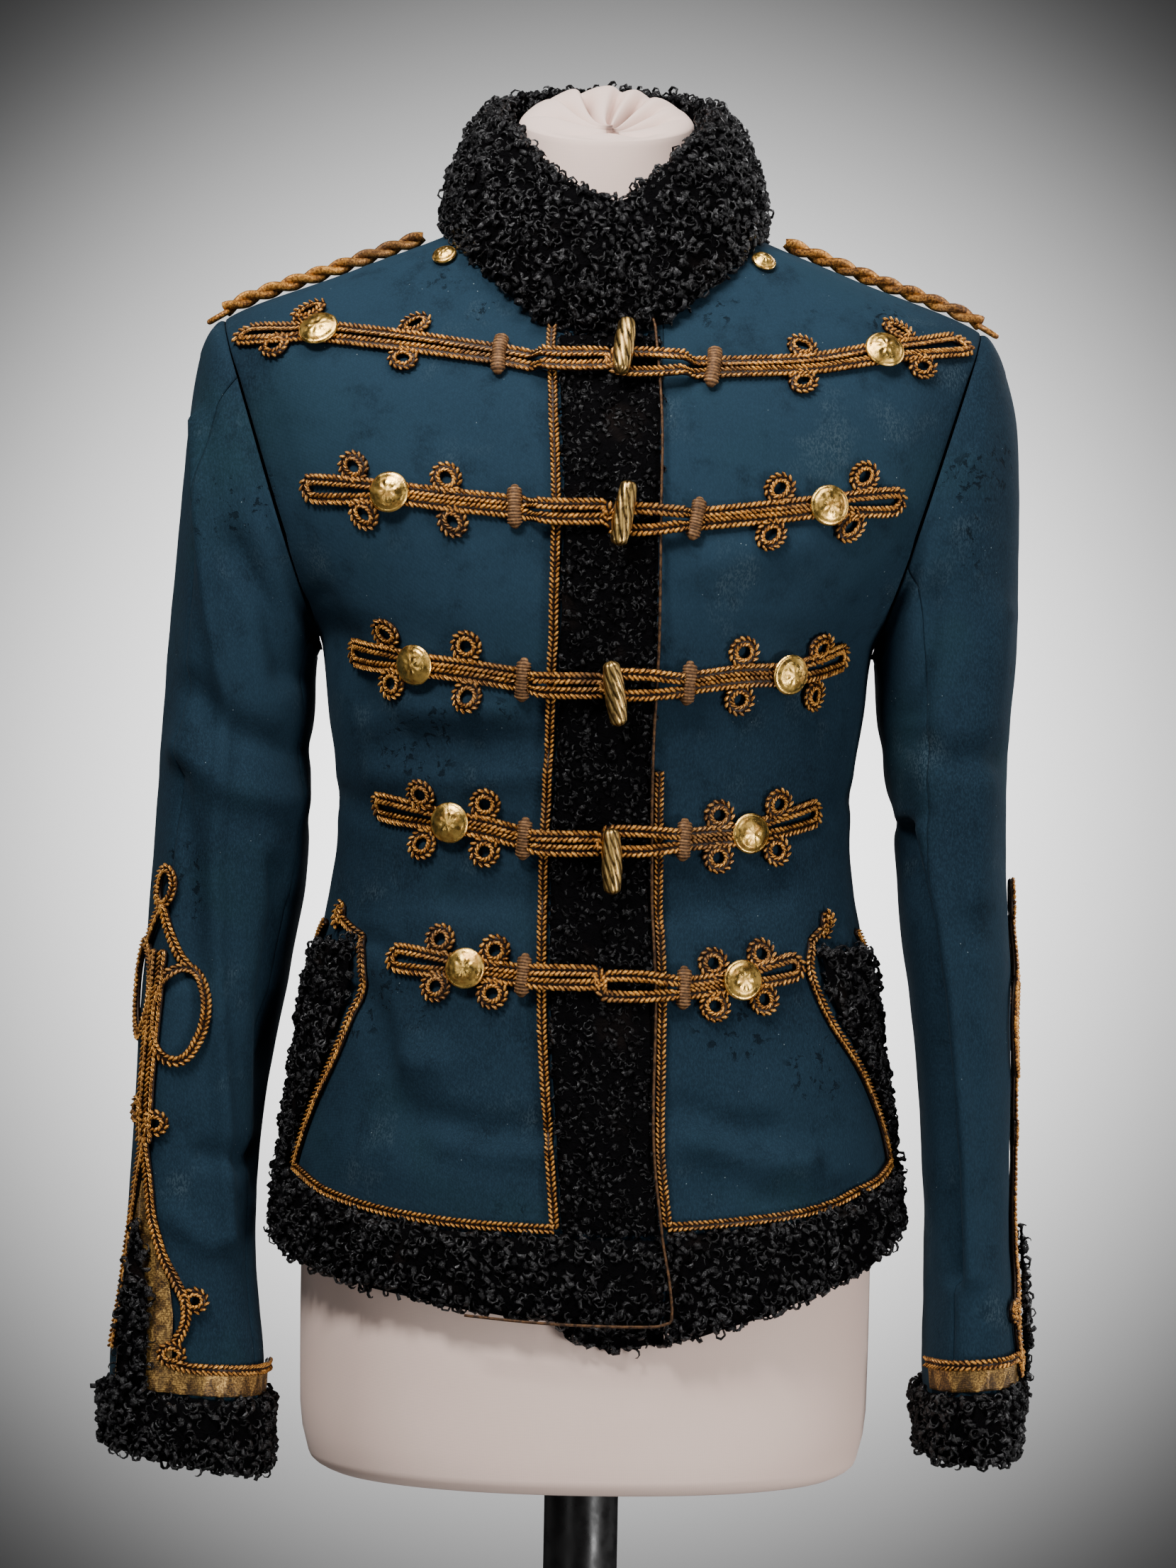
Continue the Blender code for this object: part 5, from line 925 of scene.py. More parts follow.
def smooth_path(points, step, closed=False):
    """Points about a step apart on a smooth curve through a path of any dimension."""
    points = np.asarray(points, float)
    count = len(points)
    result = []
    for number in range(count if closed else count - 1):
        if closed:
            p0, p1, p2, p3 = (points[(number + shift) % count] for shift in (-1, 0, 1, 2))
        else:
            p1, p2 = points[number], points[number + 1]
            p0 = points[number - 1] if number > 0 else 2 * p1 - p2
            p3 = points[number + 2] if number + 2 < count else 2 * p2 - p1
        parts = max(1, math.ceil(np.linalg.norm(p2 - p1) / step))
        t = (np.arange(parts) / parts)[:, None]
        result.append(0.5 * (
            2 * p1 + (p2 - p0) * t + (2 * p0 - 5 * p1 + 4 * p2 - p3) * t * t
            + (3 * p1 - p0 - 3 * p2 + p3) * t * t * t
        ))
    if not closed:
        result.append(points[-1:])
    return np.concatenate(result)


# Cloth
def shares(width):
    """Shares across a panel, close together beside its seams."""
    rim = np.array([0.0, 0.0012, 0.0030]) / width
    count = max(2, round(width / WEAVE_STEP))
    middle = np.linspace(rim[-1], 1 - rim[-1], count)[1:-1]
    return np.concatenate([rim, middle, 1 - rim[::-1]])


def refine(rows):
    """Adds rows between rows of (angle, height), about a step apart."""
    result = []
    for before, after in zip(rows, rows[1:]):
        reach = np.hypot((after[:, 0] - before[:, 0]) * 0.15, after[:, 1] - before[:, 1]).max()
        parts = max(1, math.ceil(reach / WEAVE_STEP))
        for part in range(parts):
            result.append(before + (after - before) * part / parts)
    return np.array(result + [rows[-1]])


def between(start, end, share):
    """A row of (angle, height) from one place to another."""
    start, end = np.array(start, float), np.array(end, float)
    return start + (end - start) * share[:, None]


def to_armhole(grid, side, behind, last):
    """Moves the outer end of each row exactly onto the armhole's plane."""
    column = -1 if last else 0
    height = grid[:, column, 1]
    on_armhole = (height > ARMPIT[1]) & (height < SHOULDER_TIP[1] - 1e-5)
    exact = armhole_angle(height, behind)
    exact = np.where(on_armhole, exact * side if side else math.tau - exact, grid[:, column, 0])
    count = grid.shape[1]
    share = np.linspace(0, 1, count) if last else np.linspace(1, 0, count)
    if behind and not side or behind and not last:
        share = np.clip(share * 2 - 1, 0, 1)
    grid[:, :, 0] += (exact - grid[:, column, 0])[:, None] * share[None, :]
    return grid


def hem_row(side, angles, share):
    """Heights between the cloth's lower edge, 0, and the hem's cord, 1."""
    degrees = np.degrees(angles * side)
    bottom, cord = np.moveaxis(hem_line[side](degrees), -1, 0)
    low, high = bottom + HEM_TURN, cord - BRAID_WIDTH / 2 - SEAT
    return np.stack([angles, low + (high - low) * share], -1)


def front_edge_angle(side, z):
    edge = placket_line(z)[1] + (0.0 if side == RIGHT else SEAM)
    return float(angle_at(edge, z))


def front_grid(side):
    share = shares(0.26)
    outer = side * (math.pi / 2 - gap_angle())
    rows = []
    for level in (0.0, 1.0):
        angle = front_edge_angle(side, 0.82)
        for _ in range(3):
            height = float(hem_row(side, np.array([angle]), level)[0, 1])
            angle = front_edge_angle(side, height)
        rows.append(hem_row(side, angle + (outer - angle) * share, level))
    for inner_z, outer_z in FRONT_ROWS:
        end = outer if outer_z <= ARMPIT[1] else side * float(armhole_angle(outer_z, False))
        rows.append(between((front_edge_angle(side, inner_z), inner_z), (end, outer_z), share))
    for x, inner_z, outer_z in FRONT_NECK:
        start = side * float(angle_at(x, inner_z))
        end = side * float(armhole_angle(outer_z, False))
        if (x, inner_z) == NECK_POINT:
            start = end = outer
        rows.append(between((start, inner_z), (end, outer_z), share))
    return to_armhole(refine(rows), side, False, last=True)


def side_body_grid(side):
    share = shares(0.10)
    inner, outer = math.pi / 2 + gap_angle(), math.radians(BACK_SEAM_ANGLE) - gap_angle()
    rows = [hem_row(side, side * (inner + (outer - inner) * share), level) for level in (0.0, 1.0)]
    for inner_z, angle, outer_z in SIDE_BACK:
        end = math.radians(angle) - gap_angle()
        rows.append(between((side * inner, inner_z), (side * end, outer_z), share))
    height = ARMPIT[1] + (SIDE_BACK_TOP - ARMPIT[1]) * share ** 1.8
    top = np.maximum(inner, armhole_angle(height, True))
    rows.append(np.stack([side * top, height], -1))
    return refine(rows)


def back_grid():
    share = shares(0.14)
    seam = math.radians(BACK_SEAM_ANGLE) + gap_angle()

    def both_sides(half, other=None):
        """A row from the wearer's left seam round centre back to the right seam."""
        other = half if other is None else other
        mirrored = other[::-1][1:].copy()
        mirrored[:, 0] = math.tau - mirrored[:, 0]
        return np.concatenate([half, mirrored])

    rows = []
    for level in (0.0, 1.0):
        angles = seam + (math.pi - seam) * share
        right = hem_row(RIGHT, -angles, level)
        right[:, 0] = -right[:, 0]
        rows.append(both_sides(hem_row(LEFT, angles, level), right))
    for _, angle, z in SIDE_BACK:
        rows.append(both_sides(between((math.radians(angle) + gap_angle(), z), (math.pi, z), share)))
    for centre_z, outer_z in ((SIDE_BACK_TOP, SIDE_BACK_TOP),) + BACK_ROWS:
        angle = float(armhole_angle(outer_z, True))
        rows.append(both_sides(between((angle, outer_z), (math.pi, centre_z), share)))
    for centre_z, outer_z in BACK_SHOULDER_ROWS:
        rows.append(both_sides(between((math.pi / 2 + gap_angle(), outer_z), (math.pi, centre_z), share)))
    grid = refine(rows)
    grid = to_armhole(grid, 1, True, last=False)
    return to_armhole(grid, 0, True, last=True)


def cloth_solid(name, outer, inner, material):
    shape = Shape()
    add_slab(shape, outer, inner)
    return shape.finish(name, material, [name.replace("_cloth", "")])


SEAM_DIP = 0.0009


def dip(columns, flags):
    """The cloth sinks towards a seam within a few millimetres of it."""
    profile = np.zeros(columns)
    for number, depth in enumerate((1.0, 0.55, 0.12)):
        if flags[0]:
            profile[number] = -SEAM_DIP * depth
        if flags[1]:
            profile[-1 - number] = -SEAM_DIP * depth
    return profile


def body_cloth(material):
    panels = [(f"front_{WORDS[side]}", front_grid(side), (False, True)) for side in (RIGHT, LEFT)]
    panels += [(f"side_body_{WORDS[side]}", side_body_grid(side), (True, True)) for side in (RIGHT, LEFT)]
    panels.append(("back", back_grid(), (True, True)))
    for name, grid, flags in panels:
        drop = dip(grid.shape[1], flags)[None, :]
        angle, z = grid[:, :, 0], grid[:, :, 1]
        outer = body(angle, z, drop)
        inner = body(angle, z, drop - CLOTH)
        piece = cloth_solid(f"{name}_cloth", outer, inner, material)


def sleeve_place(side, ring, turn):
    ring, turn = np.broadcast_arrays(np.asarray(ring, float), np.asarray(turn, float))
    x_out, z_out, x_in, z_in, middle, depth = np.moveaxis(sleeve_ring[side](ring), -1, 0)
    power = 2 / SLEEVE_ROUNDNESS
    along = signed_power(np.cos(turn), power)
    forward = signed_power(np.sin(turn), power)
    x = (x_out + x_in) / 2 + (x_out - x_in) / 2 * along
    z = (z_out + z_in) / 2 + (z_out - z_in) / 2 * along
    y = middle - depth * forward
    near = ring < 1
    on_body = bare_body(armhole_angle(z, np.sin(turn) < 0), z)[..., 1]
    y = np.where(near, on_body + (y - on_body) * smooth_step(ring), y)
    x = np.where(near, x + SEAM + 0.0001, x)
    place, half_width, height = CREASE[side]
    off = (np.degrees(turn) - place + 180) % 360 - 180
    lift = height * np.exp(-(off / half_width) ** 2) * smooth_step((ring - 0.5) / 2) * smooth_step((12.5 - ring) / 4)
    outward = unit(np.stack([(x_out - x_in) / 2 * along, -depth * forward], -1))
    return np.stack([side * (x + outward[..., 0] * lift), y + outward[..., 1] * lift, z], -1)


def sleeve_normal(side, ring, turn):
    ring, turn = np.broadcast_arrays(np.asarray(ring, float), np.asarray(turn, float))
    angle, step = math.radians(1.5), 0.04
    around = sleeve_place(side, ring, turn + angle) - sleeve_place(side, ring, turn - angle)
    low, high = np.maximum(0.0, ring - step), np.minimum(SLEEVE_HEM, ring + step)
    normal = unit(np.cross(around, sleeve_place(side, high, turn) - sleeve_place(side, low, turn)) * side)
    plane = unit(np.array([side * (SHOULDER_TIP[1] - ARMPIT[1]), 0.0, ARMPIT[0] - SHOULDER_TIP[0]]))
    in_plane = unit(normal - plane * (normal @ plane)[..., None])
    share = np.clip(ring, 0, 1)[..., None]
    return unit(in_plane * (1 - share) + normal * share)


def sleeve_relief(side, ring, turn):
    point = sleeve_place(side, ring, turn)
    front = smooth_step(0.5 + np.sin(turn) * 2.0)
    lift = 0.00045 * ripple(turn * 0.055 + side, point[..., 2])
    lift = lift + front * stroke_height(point[..., 0], point[..., 2], SLEEVE_STROKES[(side, "front")])
    lift = lift + (1 - front) * stroke_height(point[..., 0], point[..., 2], SLEEVE_STROKES[(side, "back")])
    return lift * smooth_step(ring / 1.2) * smooth_step((14.4 - ring) / 1.2)


def sleeve(side, ring, turn, out=0.0):
    reach = np.asarray(out) + sleeve_relief(side, np.asarray(ring, float), np.asarray(turn, float))
    return sleeve_place(side, ring, turn) + sleeve_normal(side, ring, turn) * reach[..., None]


def sleeve_cloth(material):
    rings = np.concatenate([[0.0, 0.03, 0.08], np.linspace(0.16, SLEEVE_HEM, 142)])
    sink = -SEAM_DIP * np.exp(-(rings / 0.07) ** 2)
    for side in (RIGHT, LEFT):
        start, end = HIND_SEAM[side], FORE_SEAM[side]
        for part, first, last, width in (("upper", start, end, 0.12), ("under", end, start + 360, 0.28)):
            share = shares(width)
            turns = np.radians(first + 0.2 + (last - first - 0.4) * share)
            ring, turn = np.meshgrid(rings, turns, indexing="ij")
            drop = dip(len(share), (True, True))[None, :] + sink[:, None]
            outer = sleeve(side, ring, turn, drop)
            inner = sleeve(side, ring, turn, drop - CLOTH)
            piece = cloth_solid(f"sleeve_{WORDS[side]}_{part}_cloth", outer, inner, material)


# Braid
LEAF = np.array([
    (-1, 0, -0.25), (-0.50, 0.90, 0.05), (-0.50, 0, 0.95), (-0.50, -0.90, 0.05), (-0.50, 0, -0.5),
    (0.45, 0.95, 0.05), (0.45, 0, 1.0), (0.45, -0.95, 0.05), (0.45, 0, -0.5), (1, 0, -0.1),
])
LEAF_SIDES = [
    np.array([(1, 5, 6, 2), (2, 6, 7, 3), (3, 7, 8, 4), (4, 8, 5, 1)]),
    np.array([(0, 1, 2), (0, 2, 3), (0, 3, 4), (0, 4, 1), (9, 6, 5), (9, 7, 6), (9, 8, 7), (9, 5, 8)]),
]
# Painted light and shade of each stitch: its top point lighter, its sides and underside darker.
LEAF_PAINTED_SHADING = np.array([-0.45, -0.30, 0.12, -0.30, -0.5, -0.22, 0.22, -0.22, -0.5, -0.15])
STITCH = 0.0029          # from one stitch of the chain to the next
LEAF_SLANT = math.radians(36)


def along_line(line, normals, step, closed):
    """Places, directions and normals at even steps along a line."""
    if closed:
        line = np.concatenate([line, line[:1]])
        normals = np.concatenate([normals, normals[:1]])
    lengths = np.concatenate(([0.0], np.cumsum(np.linalg.norm(np.diff(line, axis=0), axis=1))))
    count = max(2, round(lengths[-1] / step))
    places = (np.arange(count) + 0.5) * lengths[-1] / count
    point = np.stack([np.interp(places, lengths, line[:, axis]) for axis in range(3)], -1)
    reach = 0.3 * step
    ahead = np.stack([np.interp(places + reach, lengths, line[:, axis]) for axis in range(3)], -1)
    back = np.stack([np.interp(places - reach, lengths, line[:, axis]) for axis in range(3)], -1)
    normal = np.stack([np.interp(places, lengths, normals[:, axis]) for axis in range(3)], -1)
    return point, unit(ahead - back), unit(normal)


def add_chain(shape, line, normals, width=STITCH_WIDTH, closed=False, lift=0.0, tall=0.0022, tone=0.0):
    """Chain braid: a core with two rows of slanted stitches on it, like a row of Vs."""
    line = line + normals * lift
    core, _, core_normal = along_line(line, normals, 0.0030, closed)
    if not closed:
        core = np.concatenate([line[:1], core, line[-1:]])
        core_normal = np.concatenate([normals[:1], core_normal, normals[-1:]])
    # The core is tinted dark: painted shade between the two rows of stitches.
    add_tube(shape, core + core_normal * tall * 0.55, core_normal, width * 0.43, tall * 0.72, 6,
        closed, tint=-0.1)
    point, way, normal = along_line(line, normals, STITCH, closed)
    across = np.cross(normal, way)
    for sign in (1, -1):
        jitter = chance.normal(0, 0.08, len(point))
        slant = LEAF_SLANT + jitter
        ahead = way * np.cos(slant)[:, None] + across * (sign * np.sin(slant))[:, None]
        beside = np.cross(normal, ahead)
        centre = point + across * (sign * width * 0.255) + normal * (tall * 1.10)
        long, wide, high = width * 0.40, width * 0.165, tall * 0.72
        points = (
            centre[:, None, :]
            + ahead[:, None, :] * (LEAF[:, 0] * long)[None, :, None]
            + beside[:, None, :] * (LEAF[:, 1] * wide)[None, :, None]
            + normal[:, None, :] * (LEAF[:, 2] * high + LEAF[:, 0] * tall * 0.28)[None, :, None]
        )
        # Each stitch's tint adds painted light on its top and painted shade on its sides.
        tint = tone + chance.uniform(0.48, 0.90, len(point))[:, None] + LEAF_PAINTED_SHADING[None, :]
        blocks = []
        for block in LEAF_SIDES:
            offsets = np.arange(len(point))[:, None, None] * len(LEAF)
            blocks.append((block[None] + offsets).reshape(-1, block.shape[1]))
        shape.add(points, blocks, tint, np.tile(LEAF[:, 1], len(point)))


def frog_height(x):
    """Height of the frogs' underside over the cloth: they climb onto the fur edging."""
    right, left = FROG_CLIMB[RIGHT], FROG_CLIMB[LEFT]
    climb = np.minimum(smooth_step((x + right[0]) / (right[0] - right[1])),
                       smooth_step((left[0] - x) / (left[0] - left[1])))
    return 0.0002 + (EDGE_FUR + 0.0012) * climb


def circle(x, z, radius_x, radius_z, count=26, turn=0.0):
    turns = np.arange(count) / count * math.tau + turn
    return np.stack([x + radius_x * np.cos(turns), z + radius_z * np.sin(turns)], -1)


def frogs(braid, keeper_thread, gilt):
    for side in (RIGHT, LEFT):
        for number, row in enumerate(FROGS[side]):
            frog = dict(zip(FROG_COLUMNS, row))
            level = frog["button_z"]
            lengths = girth(level)

            def flat(x, z):
                return float(np.interp(float(angle_at(x, z)), GIRTH_ANGLES, lengths))

            def lay(path, lift=0.0):
                angle = np.interp(path[:, 0], lengths, GIRTH_ANGLES)
                normal = body_normal(angle, path[:, 1])
                place = bare_body(angle, path[:, 1])
                return body(angle, path[:, 1], frog_height(place[:, 0]) + lift), normal

            frog_piece(side, number, frog, flat, lay, braid, keeper_thread)
            angle = float(angle_at(side * frog["button_x"], level))
            normal = body_normal(angle, level)
            seat = body(angle, level, 0.0044)
            add_button(f"button_{number + 1}_{WORDS[side]}", seat, normal, BUTTON_RADIUS,
                BUTTON_HEIGHT, gilt)


def frog_piece(side, number, frog, flat, lay, braid, keeper_thread):
    """One half of a frog: its long loop, four rings, and the keeper wound round it."""
    def spot(x, z):
        return np.array([flat(side * x, z), z])

    edge = frog["edge_z"]
    keeper, pair = spot(frog["keeper_x"], frog["keeper_z"]), spot(frog["pair_x"], frog["pair_z"])
    button, leaf = spot(frog["button_x"], frog["button_z"]), spot(frog["leaf_x"], frog["leaf_z"])
    tip = spot(frog["tip_x"], frog["tip_z"])
    flatten = frog["flatten"]
    inner_x = FROG_MEET + side * 0.0006
    meet = np.array([flat(inner_x, edge), edge])
    open_at = np.array([flat(side * LOOP_START, edge), edge])
    spread = LOOP_SPREAD if side == LEFT else 0.0039
    way = 1 if side == LEFT else -1
    upper = [open_at + (0, spread), keeper + (0, RUN_OFFSET), pair + (0, RUN_OFFSET),
        button + (0, RUN_OFFSET)]
    lower = [open_at - (0, spread), keeper - (0, RUN_OFFSET), pair - (0, RUN_OFFSET),
        button - (0, RUN_OFFSET)]
    round_end = [meet + (way * 0.0045, spread), meet + (way * 0.0005, spread * 0.65), meet,
                 meet + (way * 0.0005, -spread * 0.65), meet + (way * 0.0045, -spread)]
    out = tip - button
    length = np.linalg.norm(out)
    out, aside = out / length, np.array([-out[1], out[0]]) / length
    if aside[1] < 0:
        aside = -aside
    half = TIP_HALF_WIDTH * flatten
    outer_end = [button + out * length * 0.45 + aside * half, tip - out * 0.0052 + aside * half * 1.12,
                 tip - out * 0.0012 + aside * half * 0.62, tip]
    outer_end += [tip - out * 0.0012 - aside * half * 0.62, tip - out * 0.0052 - aside * half * 1.12,
                  button + out * length * 0.45 - aside * half]
    loop = upper + outer_end + lower[::-1] + round_end[::-1]
    shape = Shape()
    path = smooth_path(loop, 0.0012, closed=True)
    add_chain(shape, *lay(path), closed=True)
    for centre, spread_z in ((pair, frog["pair_spread"]), (leaf, frog["leaf_spread"])):
        for sign in (1, -1):
            ring = circle(centre[0], centre[1] + sign * spread_z / 2, RING_RADIUS * 0.94,
                RING_RADIUS * 0.94 * flatten,
                          30, sign * math.pi / 2)
            add_chain(shape, *lay(ring, 0.0004), width=BRAID_WIDTH * (0.96 if flatten == 1 else 0.86),
                closed=True)
    name = f"frog_{number + 1}_{WORDS[side]}"
    shape.finish(f"{name}_braid", braid, [name])
    wound = Shape()
    height = np.linspace(-1, 1, 42)
    path = np.stack([np.full(42, keeper[0]) + 0.0008 * height, keeper[1] + height * KEEPER_REACH], -1)
    rise = 0.0020 + 0.0024 * (1 - height ** 2) ** 0.5
    line, normal = lay(path)
    line = line + normal * rise[:, None]
    thread = np.where(np.arange(42) % 3 == 0, 0.84, 1.0)
    end = np.clip((1 - np.abs(height)) * 5.5, 0.25, 1.0) ** 0.5
    waist = 1.0 - 0.10 * np.exp(-(height / 0.35) ** 2)
    # Painted shade: every third ring, where the winding dips between turns, is tinted dark.
    tint = np.repeat(np.where(np.arange(42) % 3 == 0, 0.15, chance.uniform(0.5, 0.9, 42)), 12)
    add_tube(wound, line, normal, 0.0043 * thread * end * waist, 0.0031 * thread * end, 12, tint=tint)
    wound.finish(f"{name}_keeper", keeper_thread, [])


def facing(point, normal, up=(0.0, 0.0, 1.0), lean=0.0):
    """A place whose Z points along the normal, with its Y near up, turned by a lean."""
    normal = Vector(normal)
    across = Vector(up).cross(normal).normalized()
    turn = Matrix((across, normal.cross(across), normal)).transposed().to_4x4()
    return Matrix.Translation(Vector(point)) @ turn @ Matrix.Rotation(math.radians(lean), 4, "Z")


def moved(points, place):
    matrix = np.array(place)
    return points @ matrix[:3, :3].T + matrix[:3, 3]


def add_button(name, seat, normal, radius, height, gilt):
    """A domed gilt button: a rolled rim round a raised rosette of leaves."""
    share = np.concatenate([[0.0], np.linspace(0.08, 0.86, 17),
        [0.90, 0.93, 0.96, 0.99, 1.0, 0.985, 0.93, 0.0]])
    turns = np.arange(40) / 40 * math.tau
    radial, turn = np.meshgrid(share, turns, indexing="ij")
    dome = height * (1 - 0.72 * radial ** 2.4)
    petals = np.cos(turn * 8) * 0.5 + 0.5
    relief = 0.00042 * petals * np.exp(-((radial - 0.42) / 0.16) ** 2)
    relief += 0.00038 * np.exp(-(radial / 0.15) ** 2)
    relief += 0.00030 * (np.cos(turn * 24) * 0.5 + 0.5) * np.exp(-((radial - 0.72) / 0.06) ** 2)
    relief += 0.00035 * np.exp(-((radial - 0.93) / 0.035) ** 2)
    z = dome + relief
    z[-4] = height * 0.26
    z[-3] = height * 0.14
    z[-2] = 0.0
    z[-1] = 0.0
    points = np.stack([radius * radial * np.cos(turn), radius * radial * np.sin(turn), z], -1)
    shape = Shape()
    shape.add(moved(points.reshape(-1, 3), facing(seat, normal, lean=float(chance.uniform(-40, 40)))),
              [grid_faces(len(share), 40, ring=True)])
    return shape.finish(f"{name}_gilt", gilt, [name])


def toggles(brass):
    """Barrel toggles with spiral flutes."""
    for number, (x, z, lean) in enumerate(TOGGLES):
        angle = float(angle_at(x, z))
        normal = body_normal(angle, z)
        out = float(frog_height(x)) + 0.0040 + TOGGLE_RADIUS
        seat = body(angle, z, out)
        turns = np.arange(48) / 48 * math.tau
        height = np.linspace(-1, 1, 44)
        level, turn = np.meshgrid(height, turns, indexing="ij")
        girth_share = (1 - np.abs(level) ** 3.2) ** 0.5 * 0.30 + 0.70 * np.clip((1 - np.abs(level)) * 9, 0, 1) ** 0.5
        girth_share = np.maximum(girth_share, 0.02)
        flute = np.abs(np.sin(turn * 4 + level * 5.2))
        radius = TOGGLE_RADIUS * girth_share * (0.86 + 0.14 * flute ** 0.6)
        radius *= 1 - 0.16 * np.abs(level) ** 2
        points = np.stack([radius * np.cos(turn), radius * np.sin(turn), level * TOGGLE_LENGTH / 2], -1)
        place = facing(seat, normal, lean=-lean) @ Matrix.Rotation(-math.pi / 2, 4, "X")
        shape = Shape()
        shape.add(moved(points.reshape(-1, 3), place), [
            grid_faces(44, 48, ring=True), np.arange(48)[None, ::-1], np.arange(43 * 48, 44 * 48)[None, :],
        ], tint=flute)
        shape.finish(f"toggle_{number + 1}_brass", brass, [f"toggle_{number + 1}"])


def body_path(spots, lift=0.0002, closed=False):
    """A line on the cloth through places (angle, height), and its normals."""
    spots = np.asarray(spots, float)
    scaled = np.stack([spots[:, 0] * 0.15, spots[:, 1]], -1)
    path = smooth_path(scaled, 0.0015, closed)
    angle, z = path[:, 0] / 0.15, path[:, 1]
    return body(angle, z, lift), body_normal(angle, z)


def edge_cords(braid):
    half = BRAID_WIDTH / 2
    slim = EDGE_CORD_WIDTH
    for side in (RIGHT, LEFT):
        shape = Shape()
        knot_x, knot_z = SIDE_KNOT[side]
        side_path = [(side * float(angle_at(x, z)), z) for x, z in SIDE_CORD[side]]
        corner = (side * math.radians(SIDE_CORNER[side]), float(hem_line[side](SIDE_CORNER[side])[1]))
        add_chain(shape, *body_path(side_path + [corner]), width=slim)
        inner_x = -placket_line(0.854)[0] if side == RIGHT else placket_line(0.854)[1] + half + 2 * SEAM
        inner = math.degrees(float(angle_at(inner_x, 0.854)))
        hem = [
            (side * math.radians(angle), float(hem_line[side](angle)[1]))
            for angle in np.linspace(SIDE_CORNER[side], inner, 10)
        ]
        add_chain(shape, *body_path(hem), width=slim)
        top = 1.356 if side == RIGHT else 1.108
        front = []
        for z in np.linspace(hem[-1][1], top, 20):
            cord, free_edge = placket_line(z)
            x = cord if side == RIGHT else free_edge + half + 2 * SEAM
            front.append((float(angle_at(x, z)), z))
        add_chain(shape, *body_path(front), width=slim, tall=0.0025)
        angle = side * float(angle_at(knot_x, knot_z))
        ring = circle(angle * 0.15, knot_z, SIDE_KNOT_RADIUS * 0.9, SIDE_KNOT_RADIUS * 1.2, 20)
        ring[:, 0] /= 0.15
        add_chain(shape, *body_path(ring, 0.0006, closed=True), width=0.0056, closed=True)
        name = f"edge_cord_{WORDS[side]}"
        shape.finish(f"{name}_braid", braid, [name])
    shape = Shape()
    left = [(math.radians(angle), z) for angle, z in BACK_CORD_SPAN]
    right = [(math.tau - math.radians(angle), z) for angle, z in BACK_CORD_SPAN]
    for angle in np.linspace(122, 238, 12):
        side, turn = (LEFT, angle) if angle <= 180 else (RIGHT, 360 - angle)
        left.append((math.radians(angle), float(hem_line[side](turn)[1])))
    add_chain(shape, *body_path(left + right[::-1]), width=EDGE_CORD_WIDTH)
    shape.finish("edge_cord_back_braid", braid, ["edge_cord_back"])


def placket_piping(thread):
    """A thin brown edge round the fur of the right front, turned in at its top and foot."""
    spots = [(x, z) for z, _, x in PLACKET[1:-2]]
    spots = [(-0.0640, 0.8055), (-0.0200, 0.8025), (0.0250, 0.8015), (0.0425, 0.8030),
        (0.0462, 0.8110)] + spots
    spots += [(0.0300, 1.3460), (0.0275, 1.3585), (0.0235, 1.3640), (0.0060, 1.3670)]
    path = smooth_path(np.array(spots), 0.0030)
    x, z = path.T
    angle = np.array([float(angle_at(*place)) for place in path])
    normals = body_normal(angle, z)
    out = EDGE_FUR + 0.0012 + 0.0058 * smooth_step((0.850 - z) / 0.025) + 0.0020 * smooth_step((z - 1.345) / 0.012)
    shape = Shape()
    tint = 0.25 + 0.15 * np.sin(np.arange(len(path)) * 2.4)
    add_tube(shape, body(angle, z, out), normals, 0.0008, 0.0008, 6, tint=np.repeat(tint, 6))
    shape.finish("placket_piping", thread, [])


def shoulder_cords(braid, gilt):
    """Two gold strands twisted along each shoulder, ending in a small loop."""
    for side in (RIGHT, LEFT):
        angle = side * math.radians(84)
        heights = np.linspace(1.4115, 1.3672, 150)
        centre = body(np.full(150, angle), heights, SHOULDER_CORD_RADIUS + 0.0002)
        normal = body_normal(np.full(150, angle), heights)
        along = unit(np.gradient(centre, axis=0))
        across = unit(np.cross(along, normal))
        length = np.concatenate(([0.0], np.cumsum(np.linalg.norm(np.diff(centre, axis=0), axis=1))))
        shape = Shape()
        for strand in (0.0, math.pi):
            turn = length / 0.0290 * math.tau * side + strand
            line = centre + (across * np.cos(turn)[:, None] + normal * np.sin(turn)[:, None]) * 0.0022
            slant = np.arange(12) / 12 * math.tau
            lane = length[:, None] / 0.0011 + 0.6 * np.sin(slant)[None, :]
            tint = 0.62 + 0.12 * np.sin(length * 190 + strand)[:, None] + np.zeros((1, 12))
            add_tube(shape, line, normal, 0.0027, 0.0026, 12, tint=tint, lane=lane)
        tip = centre[-1] + along[-1] * 0.0055
        turns = np.linspace(0, math.tau, 25)[:-1]
        ring = tip + across[-1] * 0.0048 * np.cos(turns)[:,
            None] + along[-1] * 0.0062 * np.sin(turns)[:, None]
        add_tube(shape, ring - normal[-1] * 0.0016, np.repeat(normal[-1:], 24, axis=0), 0.0017, 0.0017,
            8, closed=True,
                 tint=0.6)
        word = WORDS[side]
        shape.finish(f"shoulder_cord_{word}_twist", braid, [f"shoulder_cord_{word}"])
        angle = side * float(angle_at(0.0905, 1.3985))
        normal = body_normal(angle, 1.3985)
        add_button(f"shoulder_button_{word}", body(angle, 1.3985, 0.0012), normal, 0.0072, 0.0045, gilt)


